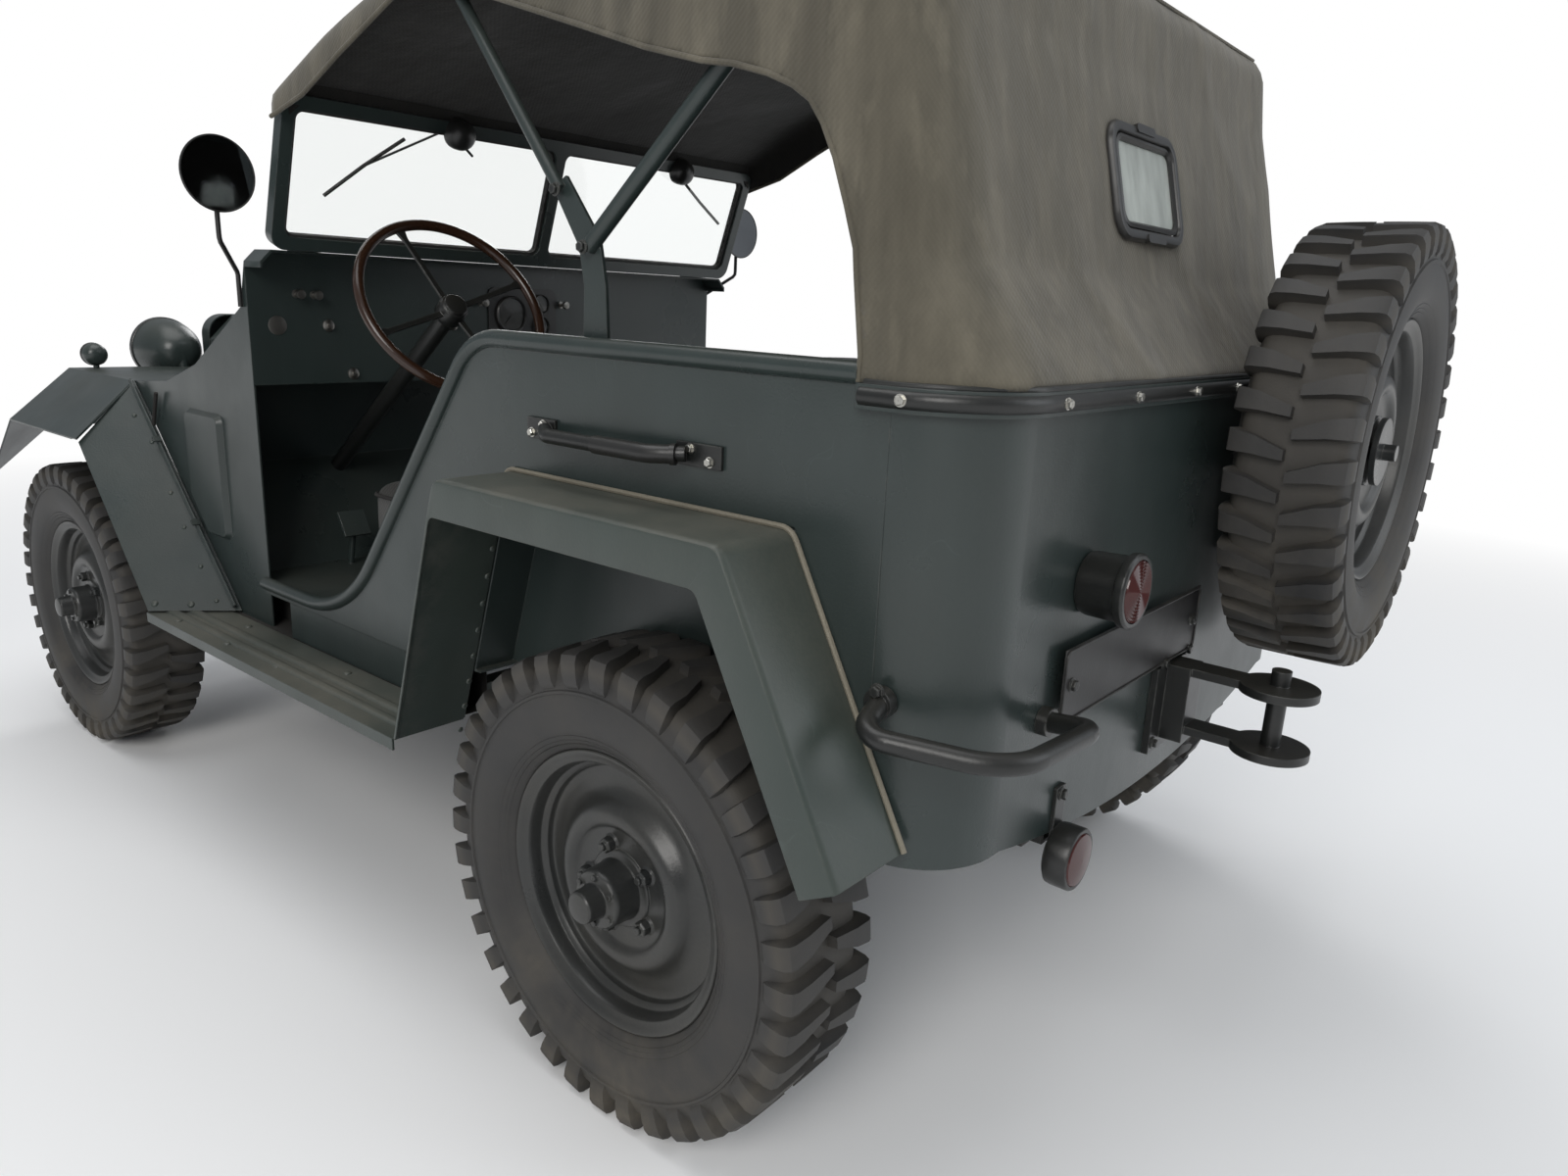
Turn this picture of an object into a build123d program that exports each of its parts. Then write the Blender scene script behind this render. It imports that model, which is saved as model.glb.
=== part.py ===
"""An open army 4x4 car of the 1940s with a canvas top, standing on its wheels.

Millimetres, +X forward, +Y to the car's left, +Z up. The origin is on the ground,
in the middle of the car's length and width.
"""
from build123d import *
import os
from math import atan2, cos, hypot, pi, radians, sin

os.makedirs("parts", exist_ok=True)

# Driving dimensions of the car
overall_width = 1685.0
wheelbase = 2100.0
track = 1446.0
rear_overhang = 750.0
front_overhang = 500.0
overall_length = rear_overhang + wheelbase + front_overhang
half_width = overall_width / 2
half_track = track / 2
rear_axle_x = rear_overhang - overall_length / 2


def ahead(distance):
    """Station along the car, measured forward from the rear axle."""
    return rear_axle_x + distance


front_axle_x = ahead(wheelbase)


def fore(distance):
    """Station along the car, measured forward from the front axle."""
    return front_axle_x + distance


front_end_x = overall_length / 2
rear_end_x = -overall_length / 2

# Steering wheel and column
bonnet_half_width = 400.0
steer_hub = Vector(fore(-1220), 430, 1200)
steer_box = Vector(fore(-380), bonnet_half_width - 50, 640)
column_axis = (steer_hub - steer_box).normalized()
steer_wheel_radius = 192.5
steer_rim_radius = 11.0
column_radius = 19.0

# Clearances
seat_gap = 0.3
moving_gap = 5.0

# Tyres and wheels
tyre_radius = 375.0
tyre_width = 180.0
tyre_sides = 20
tread_bars = 20
tread_depth = 19.0
tread_side = 6.0
bead_radius = 205.0
bead_width = 114.0
flange_radius = 220.0
flange_thickness = 8.0
rim_wall = 6.0
disc_offset = 22.0
disc_thickness = 6.0
dome_radius = 132.0
dome_height = 30.0
hub_radius = 46.0
hub_flange_radius = 96.0
hub_reach = 92.0
hub_cap_radius = 24.0
hub_cap_reach = 128.0
drum_radius = 150.0
drum_width = 52.0
wheel_z = tyre_radius

# Chassis frame
rail_y = 380.0
rail_width = 45.0
rail_height = 90.0
rail_wall = 5.0
floor_z = 585.0
rail_rear_x = ahead(-500)
rail_front_x = front_end_x - 100
crossmember_width = 60.0
crossmembers = [ahead(-440), ahead(620), rail_front_x - 60]
cradle_x = fore(-980)
cradle_top_z = 469.7

# Axles, springs and steering
axle_radius = 38.0
diff_radius = 140.0
diff_width = 150.0
front_diff_y = 130.0
kingpin_y = 590.0
kingpin_drum_radius = 40.0
kingpin_drum_height = 100.0
knuckle_gap = 0.6
fork_thickness = 16.0
spindle_radius = 30.0
spindle_reach = 50.0
brake_plate_radius = 152.0
brake_plate_thickness = 4.0
brake_gap = 8.0
spring_width = 45.0
front_spring_length = 620.0
steer_arm_reach = 190.0
tie_rod_radius = 12.0
tie_rod_eye_radius = 20.0
tie_rod_eye_height = 32.0

# Body sheet metal
sheet = 4.0
tub_half_width = 700.0
tub_rear_x = ahead(-510)
tub_corner_radius = 125.0
tub_top_z = 1165.0
tub_front_x = fore(-872)
side_bottom_z = 570.0
rear_bottom_z = 550.0
rear_dip_z = 485.0
bead_tube_radius = 14.0
wheel_box_y = tub_half_width - 88

# Rear fender outline in side view, front foot to rear foot
fender_top_z = 960.0
fender_foot_front = (ahead(489), 490.0)
fender_top_front = (ahead(341), fender_top_z)
fender_top_rear = (ahead(-247), fender_top_z)
fender_foot_rear = (ahead(-450), 581.0)
fender_lip = 62.0

# Running board
board_z = 490.0
board_front_x = fore(-586)
board_thickness = 22.0

# Cowl and windshield
cowl_y = tub_half_width - 12
cowl_rear_x = fore(-868)
cowl_lip_x = fore(-938)
firewall_x = fore(-592)
cowl_top_z = 1296.0
cowl_shoulder_z = 1272.0
hood_front_x = cowl_rear_x + 30
hood_foot_z = 1180.0
cowl_front_shoulder_z = 1045.0
cowl_foot_z = 470.0
bonnet_nose_half_width = 330.0
bonnet_rear_z = 1185.0
bonnet_nose_z = 1130.0
bonnet_foot_z = 992.0
bonnet_nose_x = fore(162)
shield_base_x = fore(-928)
shield_half_width = cowl_y - 16
shield_height = 300.0
shield_lean = 19.0
shield_bar = 26.0
shield_corner = 22.0
shield_base_z = cowl_top_z + seat_gap + shield_bar * sin(radians(shield_lean))
shield_top_z = shield_base_z + shield_height * cos(radians(shield_lean))
glass_thickness = 5.0

# Front wings
wing_top_z = 980.0
wing_outer_z = 850.0
wing_front_x = fore(200)
wing_tip_x = front_end_x - 70
wing_tip_z = 800.0

# Grille and bumper
grille_x = fore(170)
grille_depth = 45.0
grille_half_width = 330.0
grille_top_z = 1130.0
grille_bottom_z = 596.0
bumper_half_width = 550.0
bumper_height = 110.0
bumper_depth = 50.0
bumper_z = 530.0
tow_eye_bore = 17.0

# Canvas top
canvas = 8.0

# Clamp band round the tub's rear, and the window in the canvas
clamp_low_z = 1124.0
clamp_high_z = 1154.0
clamp_depth = 12.0
clamp_front_x = ahead(-340)
canvas_hem_z = clamp_high_z + seat_gap
canvas_hem_y = tub_half_width + seat_gap + canvas
window_width = 150.0
window_height = 245.0
window_lean = atan2(74, 300)
window_plane = Plane(
    origin=(ahead(-432 + 74 * 140 / 300) - seat_gap, 40, 1440),
    x_dir=(0, 1, 0),
    z_dir=(-cos(window_lean), 0, sin(window_lean)),
)

# Bonnet hinge
hinge_y = 250.0
hinge_x = firewall_x + 10
hinge_z = bonnet_rear_z + 6
hinge_pin_radius = 4.0
hinge_eye_radius = 8.5

# Spare wheel
spare_x = ahead(-653)
spare_y = -327.0
spare_z = 1038.0


def save(builder, name):
    """Label a finished piece and write it as a STEP file of the same name."""
    builder.part.label = name
    export_step(builder.part, f"parts/{name}.step")


def offset_line(points, distance):
    """The open line through points, moved to its right by distance, with mitred corners."""
    runs = []
    for (x0, z0), (x1, z1) in zip(points, points[1:]):
        length = hypot(x1 - x0, z1 - z0)
        runs.append(((x1 - x0) / length, (z1 - z0) / length))
    moved = []
    for index, (x, z) in enumerate(points):
        before = runs[max(index - 1, 0)]
        after = runs[min(index, len(runs) - 1)]
        mid_x = before[1] + after[1]
        mid_z = -before[0] - after[0]
        size = hypot(mid_x, mid_z)
        stretch = distance / (mid_x / size * after[1] - mid_z / size * after[0])
        moved.append((x + mid_x / size * stretch, z + mid_z / size * stretch))
    return moved


def side_plane(y):
    """Side-view plane at y: local x is forward, local y is up, extrusions go towards -Y."""
    return Plane.XZ.offset(-y)


def side_prism(points, y_low, y_high, mode=Mode.ADD):
    """A side-view outline, carried from y_low to y_high."""
    with BuildSketch(side_plane(y_high)) as outline:
        with BuildLine():
            Polyline(*points, close=True)
        make_face()
    extrude(outline.sketch, amount=y_high - y_low, mode=mode)


def cross_prism(points, x_low, x_high, mode=Mode.ADD):
    """An outline seen from the front, with points (y, z), carried from x_low to x_high."""
    with BuildSketch(Plane.YZ.offset(x_low)) as outline:
        with BuildLine():
            Polyline(*points, close=True)
        make_face()
    extrude(outline.sketch, amount=x_high - x_low, mode=mode)


def block(low, high, mode=Mode.ADD):
    """A box between two corners."""
    middle = [(a + b) / 2 for a, b in zip(low, high)]
    with Locations(tuple(middle)):
        Box(*[abs(b - a) for a, b in zip(low, high)], mode=mode)


def sheet_strip(points, thickness, y_low, y_high):
    """A sheet bent along a side-view line, its thickness on the right of the line."""
    side_prism(list(points) + offset_line(points, thickness)[::-1], y_low, y_high)


def flat_plate(corners, thickness):
    """A flat plate through the corners, its thickness along the corners' right-hand normal."""
    first, second, third = [Vector(*corner) for corner in corners[:3]]
    plane = Plane(origin=first, x_dir=second - first, z_dir=(second - first).cross(third - first))
    local = [plane.to_local_coords(Vector(*corner)) for corner in corners]
    with BuildSketch(plane) as outline:
        with BuildLine():
            Polyline(*[(point.X, point.Y) for point in local], close=True)
        make_face()
    extrude(outline.sketch, amount=thickness)


def rod(start, end, radius, mode=Mode.ADD):
    """A round bar from start to end."""
    start, end = Vector(*start), Vector(*end)
    with BuildSketch(Plane(origin=start, z_dir=end - start)) as section:
        Circle(radius)
    extrude(section.sketch, amount=(end - start).length, mode=mode)


def bent_tube(points, radii, radius, mode=Mode.ADD):
    """A round tube along straight runs joined by arcs."""
    with BuildLine() as route:
        FilletPolyline(*points, radius=radii)
    start = route.wire() @ 0
    with BuildSketch(Plane(origin=start, z_dir=route.wire() % 0)) as section:
        Circle(radius)
    sweep(section.sketch, path=route.wire(), mode=mode)


def faceted_turning(stations, sides, mode=Mode.ADD):
    """A many-sided turning about local Z through (height, radius across the flats) stations."""
    rings = []
    for height, radius in stations:
        corner = radius / cos(pi / sides)
        turns = [2 * pi * index / sides for index in range(sides)]
        rings.append([Vector(corner * cos(turn), corner * sin(turn), height) for turn in turns])
    faces = [Face(Wire.make_polygon(rings[0])), Face(Wire.make_polygon(rings[-1]))]
    for lower, upper in zip(rings, rings[1:]):
        for index in range(sides):
            after = (index + 1) % sides
            faces.append(Face(Wire.make_polygon([lower[index], lower[after], upper[after], upper[index]])))
    add(Solid(Shell(faces)), mode=mode)


def plan_face(front_x, inset):
    """Plan outline of the tub's rear, its corners rounded, moved inward by inset."""
    corner = tub_corner_radius - inset
    side_y = tub_half_width - inset
    back_x = tub_rear_x + inset
    with BuildSketch(mode=Mode.PRIVATE) as plan:
        with BuildLine():
            FilletPolyline(
                (front_x, side_y),
                (back_x, side_y),
                (back_x, -side_y),
                (front_x, -side_y),
                radius=[corner, corner],
            )
            Line((front_x, -side_y), (front_x, side_y))
        make_face()
    return plan.sketch.face()


def wheel_plane(x, y, z, outward):
    """Where a wheel stands: local Z points outward from the car."""
    if outward == "rear":
        return Plane(origin=(x, y, z), x_dir=(0, 1, 0), z_dir=(-1, 0, 0))
    return Plane(origin=(x, y, z), x_dir=(1, 0, 0), z_dir=(0, outward, 0))


# Tyre: a many-sided carcass with a ring of tread bars on each side of its middle
half_bead = bead_width / 2
half_tyre = tyre_width / 2


def tread_ring(level, height, phase):
    """Bars across one half of the tread; phase shifts the ring by a share of the pitch."""
    pitch = 2 * pi / tread_bars
    root = tyre_radius - 2 * tread_depth
    tip = tyre_radius / cos(pitch / 4)
    corners = []
    for index in range(tread_bars):
        middle = (index + phase) * pitch
        for radius, turn in ((root, -0.3), (tip, -0.25), (tip, 0.25), (root, 0.3)):
            corners.append((radius * cos(middle + turn * pitch), radius * sin(middle + turn * pitch)))
    with BuildSketch(Plane.XY.offset(level)) as outline:
        with BuildLine():
            Polyline(*corners, close=True)
        make_face()
        Circle(root - 2 * tread_depth, mode=Mode.SUBTRACT)
    extrude(outline.sketch, amount=height)


with BuildPart() as tyre_master:
    faceted_turning(
        [
            (-half_bead, flange_radius),
            (-half_tyre, 285.0),
            (-half_tyre + 3, tyre_radius - 32),
            (-half_tyre + 20, tyre_radius - tread_depth),
            (half_tyre - 20, tyre_radius - tread_depth),
            (half_tyre - 3, tyre_radius - 32),
            (half_tyre, 285.0),
            (half_bead, flange_radius),
        ],
        tyre_sides,
    )
    tread_ring(0, half_tyre - tread_side, 0)
    tread_ring(-half_tyre + tread_side, half_tyre - tread_side, 0.5)
    faceted_turning([(-half_tyre, bead_radius), (half_tyre, bead_radius)], tyre_sides, Mode.SUBTRACT)

# Rim: two flanges, a barrel and a dished disc with a dome and a centre hole
outer_face = half_bead + flange_thickness
barrel_radius = bead_radius - rim_wall
with BuildPart() as rim_master:
    faceted_turning([(-half_bead, bead_radius), (half_bead, bead_radius)], tyre_sides)
    for flange in (-outer_face, half_bead):
        faceted_turning([(flange, flange_radius), (flange + flange_thickness, flange_radius)], tyre_sides)
    faceted_turning([(disc_offset, barrel_radius - 14), (outer_face, barrel_radius)], tyre_sides, Mode.SUBTRACT)
    faceted_turning(
        [(-outer_face, barrel_radius), (disc_offset - disc_thickness, barrel_radius - 14)],
        tyre_sides,
        Mode.SUBTRACT,
    )
    faceted_turning([(disc_offset, dome_radius), (disc_offset + dome_height, dome_radius - 34)], tyre_sides)
    faceted_turning(
        [(disc_offset - disc_thickness, dome_radius - 2), (disc_offset + dome_height - disc_thickness, dome_radius - 34)],
        tyre_sides,
        Mode.SUBTRACT,
    )
    with BuildSketch(Plane.XY.offset(disc_offset)):
        Circle(hub_radius)
    extrude(amount=dome_height + 1, mode=Mode.SUBTRACT)

# Hub: the brake drum, the barrel through the disc, the long nose, and a bore for the spindle
with BuildPart() as hub_master:
    with BuildSketch(Plane.XY.offset(-outer_face)):
        Circle(drum_radius)
    extrude(amount=outer_face + disc_offset - disc_thickness - 4)
    with BuildSketch(Plane.XY.offset(disc_offset - disc_thickness - 5)):
        Circle(hub_flange_radius)
    extrude(amount=dome_height + 5)
    with BuildSketch(Plane.XY.offset(disc_offset)):
        Circle(hub_radius)
    extrude(amount=hub_reach - disc_offset)
    with BuildSketch(Plane.XY.offset(hub_reach)):
        Circle(hub_cap_radius)
    extrude(amount=hub_cap_reach - hub_reach)
    with BuildSketch(Plane.XY.offset(-outer_face)):
        Circle(spindle_radius + seat_gap)
    extrude(amount=spindle_reach - brake_gap + 3, mode=Mode.SUBTRACT)

# Columns: name, x, y, z, outward side
wheel_places = [
    ("rear_left", rear_axle_x, half_track, wheel_z, 1),
    ("rear_right", rear_axle_x, -half_track, wheel_z, -1),
    ("front_left", front_axle_x, half_track, wheel_z, 1),
    ("front_right", front_axle_x, -half_track, wheel_z, -1),
    ("spare", spare_x, spare_y, spare_z, "rear"),
]
for place, x, y, z, outward in wheel_places:
    stand = wheel_plane(x, y, z, outward)
    with BuildPart() as tyre:
        with Locations(stand.location):
            add(tyre_master.part)
    save(tyre, f"tyre_{place}")
    with BuildPart() as wheel:
        with Locations(stand.location):
            add(rim_master.part)
            if outward != "rear":
                add(hub_master.part)
    save(wheel, f"wheel_{place}")

# Chassis frame: two channel rails and their cross members
with BuildPart() as chassis_frame:
    rail_low_z = floor_z - rail_height
    for side in (1, -1):
        rail_outer = side * (rail_y + rail_width / 2)
        rail_inner = side * (rail_y - rail_width / 2)
        block((rail_rear_x, rail_outer, rail_low_z), (rail_front_x, rail_inner, floor_z))
        block(
            (rail_rear_x - 1, rail_outer - side * rail_wall, rail_low_z + rail_wall),
            (rail_front_x + 1, rail_inner - side, floor_z - rail_wall),
            Mode.SUBTRACT,
        )
    for station in crossmembers:
        block(
            (station - crossmember_width / 2, rail_y - rail_width / 2 + 1, rail_low_z + rail_wall),
            (station + crossmember_width / 2, -rail_y + rail_width / 2 - 1, floor_z - rail_wall),
        )
    cradle_low_z = cradle_top_z - 25
    cradle_y = rail_y + rail_width / 2
    block((cradle_x, cradle_y, cradle_low_z), (cradle_x + crossmember_width, -cradle_y, cradle_top_z))
    for side in (1, -1):
        block(
            (cradle_x, side * cradle_y, cradle_low_z),
            (cradle_x + crossmember_width, side * (cradle_y - rail_width), rail_low_z),
        )
save(chassis_frame, "chassis_frame")

# Front bumper: a channel across the rail ends, with two towing eyes
with BuildPart() as front_bumper:
    bumper_back_x = rail_front_x
    bumper_front_x = bumper_back_x + bumper_depth
    bumper_low_z = bumper_z - bumper_height / 2
    bumper_high_z = bumper_z + bumper_height / 2
    block((bumper_back_x, bumper_half_width, bumper_low_z), (bumper_front_x, -bumper_half_width, bumper_high_z))
    block(
        (bumper_back_x - 1, bumper_half_width + 1, bumper_low_z + sheet),
        (bumper_front_x - sheet, -bumper_half_width - 1, bumper_high_z - sheet),
        Mode.SUBTRACT,
    )
    for side in (1, -1):
        with BuildSketch(side_plane(side * rail_y + 8)):
            with BuildLine():
                Polyline(
                    (bumper_front_x, bumper_z - 35),
                    (front_end_x - 12, bumper_z - 30),
                    (front_end_x, bumper_z - 12),
                    (front_end_x, bumper_z + 12),
                    (front_end_x - 12, bumper_z + 30),
                    (bumper_front_x, bumper_z + 35),
                    close=True,
                )
            make_face()
            with Locations((front_end_x - 27, bumper_z)):
                Circle(tow_eye_bore, mode=Mode.SUBTRACT)
        extrude(amount=16)
save(front_bumper, "front_bumper")

# Axles: tube, differential housing and spring pads
def axle(x, diff_y):
    rod((x, -kingpin_y, wheel_z), (x, kingpin_y, wheel_z), axle_radius)
    sections = []
    for shift, radius in ((diff_width / 2, diff_radius - 45), (0, diff_radius), (-diff_width / 2, diff_radius - 45)):
        with BuildSketch(side_plane(diff_y + shift)) as section:
            with Locations((x, wheel_z)):
                RegularPolygon(radius, 16, major_radius=False)
        sections.append(section.sketch.face())
    loft(sections, ruled=True)
    for side in (1, -1):
        block(
            (x - 50, side * rail_y - spring_width / 2, wheel_z),
            (x + 50, side * rail_y + spring_width / 2, wheel_z + axle_radius + 6),
        )


def spindle(x, side):
    """Brake backing plate and the spindle that the wheel turns on."""
    plate_y = half_track - outer_face - brake_gap
    rod((x, side * (plate_y - brake_plate_thickness), wheel_z), (x, side * plate_y, wheel_z), brake_plate_radius)
    rod((x, side * plate_y, wheel_z), (x, side * (plate_y + spindle_reach), wheel_z), spindle_radius)


with BuildPart() as rear_axle:
    axle(rear_axle_x, 0)
    rod((rear_axle_x, 0, wheel_z), (rear_axle_x + 200, 0, wheel_z + 12), 45)
    for side in (1, -1):
        plate_y = half_track - outer_face - brake_gap
        rod((rear_axle_x, side * (kingpin_y - 1), wheel_z), (rear_axle_x, side * plate_y, wheel_z), axle_radius)
        spindle(rear_axle_x, side)
save(rear_axle, "rear_axle")

with BuildPart() as front_axle:
    axle(front_axle_x, front_diff_y)
    rod((front_axle_x, front_diff_y, wheel_z), (front_axle_x - 200, front_diff_y, wheel_z + 12), 45)
    for side in (1, -1):
        rod(
            (front_axle_x, side * kingpin_y, wheel_z - kingpin_drum_height / 2),
            (front_axle_x, side * kingpin_y, wheel_z + kingpin_drum_height / 2),
            kingpin_drum_radius,
        )
save(front_axle, "front_axle")

# Steering knuckles: a fork over the kingpin drum, brake plate, spindle and steering arm
fork_low_z = wheel_z - kingpin_drum_height / 2 - knuckle_gap
fork_high_z = wheel_z + kingpin_drum_height / 2 + knuckle_gap
fork_web_y = kingpin_y + kingpin_drum_radius + 4
for place, side in (("left", 1), ("right", -1)):
    with BuildPart() as knuckle:
        plate_y = half_track - outer_face - brake_gap - brake_plate_thickness
        for level, direction in ((fork_low_z, -1), (fork_high_z, 1)):
            with BuildSketch(Plane.XY.offset(level)):
                with Locations((front_axle_x, side * kingpin_y)):
                    Circle(34)
                with Locations((front_axle_x, side * (kingpin_y + plate_y) / 2)):
                    Rectangle(68, plate_y - kingpin_y)
                if direction < 0:
                    with Locations((front_axle_x + steer_arm_reach / 2, side * kingpin_y)):
                        Rectangle(steer_arm_reach, 30)
                    with Locations((front_axle_x + steer_arm_reach, side * kingpin_y)):
                        Circle(tie_rod_eye_radius)
            extrude(amount=direction * fork_thickness)
        block(
            (front_axle_x - 34, side * fork_web_y, fork_low_z - 1),
            (front_axle_x + 34, side * plate_y, fork_high_z + 1),
        )
        spindle(front_axle_x, side)
    save(knuckle, f"knuckle_{place}")

# Tie rod between the steering arms, its eyes just under them
tie_rod_top_z = fork_low_z - fork_thickness - seat_gap
with BuildPart() as tie_rod:
    tie_x = front_axle_x + steer_arm_reach
    for side in (1, -1):
        with BuildSketch(Plane.XY.offset(tie_rod_top_z)):
            with Locations((tie_x, side * kingpin_y)):
                Circle(tie_rod_eye_radius)
        extrude(amount=-tie_rod_eye_height)
    rod(
        (tie_x, -kingpin_y, tie_rod_top_z - tie_rod_eye_height / 2),
        (tie_x, kingpin_y, tie_rod_top_z - tie_rod_eye_height / 2),
        tie_rod_radius,
    )
save(tie_rod, "tie_rod")

# Leaf springs: two long semi-elliptic packs behind, two quarter-elliptic pairs in front
# Columns: share of the full leaf length, from the top leaf down
leaf_shares = [1.0, 0.84, 0.68, 0.52, 0.36]
leaf_thickness = 7.0
with BuildPart() as leaf_springs:
    for side in (1, -1):
        for index, share in enumerate(leaf_shares):
            top = floor_z - rail_height - 8 - index * leaf_thickness
            block(
                (rear_axle_x - 460 * share, side * rail_y - spring_width / 2, top - leaf_thickness),
                (rear_axle_x + 460 * share, side * rail_y + spring_width / 2, top),
            )
        low = floor_z - rail_height - 8 - len(leaf_shares) * leaf_thickness
        block(
            (rear_axle_x - 45, side * rail_y - spring_width / 2, wheel_z + axle_radius + 6),
            (rear_axle_x + 45, side * rail_y + spring_width / 2, low),
        )
        for end in (-450, 450):
            block(
                (rear_axle_x + end - 20, side * rail_y - spring_width / 2, floor_z - rail_height - 8 - leaf_thickness),
                (rear_axle_x + end + 20, side * rail_y + spring_width / 2, floor_z - rail_height),
            )
        # The front pack, clamped under the rail behind the axle
        for index, share in enumerate(leaf_shares):
            top = floor_z - rail_height - 8 - index * leaf_thickness
            block(
                (front_axle_x - front_spring_length * share, side * rail_y - spring_width / 2, top - leaf_thickness),
                (front_axle_x + 50, side * rail_y + spring_width / 2, top),
            )
        low = floor_z - rail_height - 8 - len(leaf_shares) * leaf_thickness
        block(
            (front_axle_x - 45, side * rail_y - spring_width / 2, wheel_z + axle_radius + 6),
            (front_axle_x + 45, side * rail_y + spring_width / 2, low),
        )
        block(
            (front_axle_x - front_spring_length, side * rail_y - spring_width / 2, floor_z - rail_height - 9),
            (front_axle_x - front_spring_length + 140, side * rail_y + spring_width / 2, floor_z - rail_height),
        )
save(leaf_springs, "leaf_springs")

# Engine, gearbox and transfer case as plain blocks, with feet on the rails
with BuildPart() as engine:
    block((fore(-540), -165, 540), (fore(30), 165, 1010))
    for station in (fore(-480), fore(-40)):
        block((station - 25, -rail_y - 10, floor_z), (station + 25, rail_y + 10, floor_z + 12))
save(engine, "engine")

with BuildPart() as gearbox:
    block((fore(-825), -120, 500), (ahead(1559.7), 120, 700))
    block((ahead(940), -110, cradle_top_z + seat_gap), (fore(-820), 110, 570))
    block((ahead(980), 60, 375), (fore(-988), 190, 520))
    rod((rear_axle_x + 205, 0, wheel_z + 12), (ahead(945), 0, 500), 22)
    rod((front_axle_x - 202, front_diff_y, wheel_z + 12), (fore(-992), front_diff_y, 405), 22)
save(gearbox, "gearbox")

# Floor pan with the tunnel over the gearbox, the wheel boxes and the seat boxes
floor_front_x = fore(-770)
tunnel_half_width = 140.0
tunnel_rear_x = ahead(900)
tunnel_height = 140.0
toe_board_top_z = 820.0
wheel_box_line = [fender_foot_front, fender_top_front, fender_top_rear, fender_foot_rear]
entrance_z = 592.0
entrance_line = [
    (tub_front_x, entrance_z),
    (ahead(880), entrance_z),
    (ahead(432), tub_top_z),
    (clamp_front_x + seat_gap, tub_top_z),
]
entrance_radii = [330.0, 130.0]

# Columns: name, rear x, front x, middle y, half width, box top z, cushion top z, back top z
seat_table = [
    ("front_left", ahead(530), ahead(970), 390, 215, 700, 850, 1120),
    ("front_right", ahead(530), ahead(970), -390, 215, 700, 850, 1120),
    ("rear", ahead(-400), ahead(60), 0, 590, 700, 840, 1120),
]

# Levers on the tunnel and pedals on the floor
# Columns: foot station, middle y, top station, top z
lever_radius = 7.0
lever_knob_radius = 19.0
lever_table = [
    (fore(-920), 0, fore(-1035), 985),
    (fore(-960), -75, fore(-1010), 880),
    (fore(-960), 75, fore(-1020), 905),
]
# Columns: middle y, half width of the pad
pedal_x = fore(-835)
pedal_z = 690.0
pedal_table = [(235, 22), (325, 32), (465, 32)]
with BuildPart() as floor_pan:
    with BuildSketch(Plane.XY.offset(floor_z)) as floor_plan:
        add(plan_face(tub_front_x, sheet + seat_gap))
    extrude(amount=sheet)
    block(
        (tub_front_x - 1, cowl_y - sheet, floor_z),
        (floor_front_x, -cowl_y + sheet, floor_z + sheet),
    )
    for side in (1, -1):
        block(
            (ahead(444), side * (wheel_box_y + sheet), floor_z - 1),
            (ahead(-446), side * tub_half_width, floor_z + sheet + 1),
            Mode.SUBTRACT,
        )
        box_line = [(ahead(459), floor_z)] + wheel_box_line[1:3] + [(ahead(-448), floor_z)]
        box_inner_y = side * wheel_box_y
        sheet_strip(box_line, sheet, *sorted((box_inner_y, side * (tub_half_width - sheet - seat_gap))))
        side_prism(box_line, *sorted((box_inner_y, side * (wheel_box_y + sheet))))
        bent_tube(
            [(x, side * (tub_half_width - 2), z) for x, z in entrance_line],
            entrance_radii,
            bead_tube_radius + seat_gap,
            Mode.SUBTRACT,
        )
    block(
        (tunnel_rear_x, tunnel_half_width, floor_z),
        (firewall_x - sheet - seat_gap, -tunnel_half_width, floor_z + tunnel_height),
    )
    block(
        (tunnel_rear_x + sheet, tunnel_half_width - sheet, floor_z - 1),
        (firewall_x + 1, -tunnel_half_width + sheet, floor_z + tunnel_height - sheet),
        Mode.SUBTRACT,
    )
    for name, seat_rear, seat_front, middle, half, box_z, cushion_z, back_z in seat_table:
        block((seat_rear, middle - half + 10, floor_z), (seat_front - 20, middle + half - 10, box_z))
    for foot_x, lever_y, top_x, top_z in lever_table:
        rod((foot_x, lever_y, floor_z + tunnel_height - 2), (top_x, lever_y, top_z), lever_radius)
        with Locations((top_x, lever_y, top_z)):
            Sphere(lever_knob_radius)
    for pedal_y, pad_half in pedal_table:
        rod((pedal_x + 24, pedal_y, floor_z + 1), (pedal_x, pedal_y, pedal_z), lever_radius)
        with Locations(Location((pedal_x, pedal_y, pedal_z), (0, 30, 0))):
            Box(9, 2 * pad_half, 62)
    with BuildSketch(Plane.XY.offset(floor_z - 5)):
        add(plan_face(firewall_x, sheet + seat_gap))
    extrude(amount=500, mode=Mode.INTERSECT)
save(floor_pan, "floor_pan")

# Seats: cushions and backs, two in front and the bench between the wheel boxes
back_thickness = 90.0
with BuildPart() as seats:
    for name, seat_rear, seat_front, middle, half, box_z, cushion_z, back_z in seat_table:
        seat_base_z = box_z + seat_gap
        cushion_rear = seat_rear + back_thickness + seat_gap
        block((cushion_rear, middle - half, seat_base_z), (seat_front, middle + half, cushion_z))
        block((seat_rear, middle - half, seat_base_z), (seat_rear + back_thickness, middle + half, back_z))
save(seats, "seats")

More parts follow.
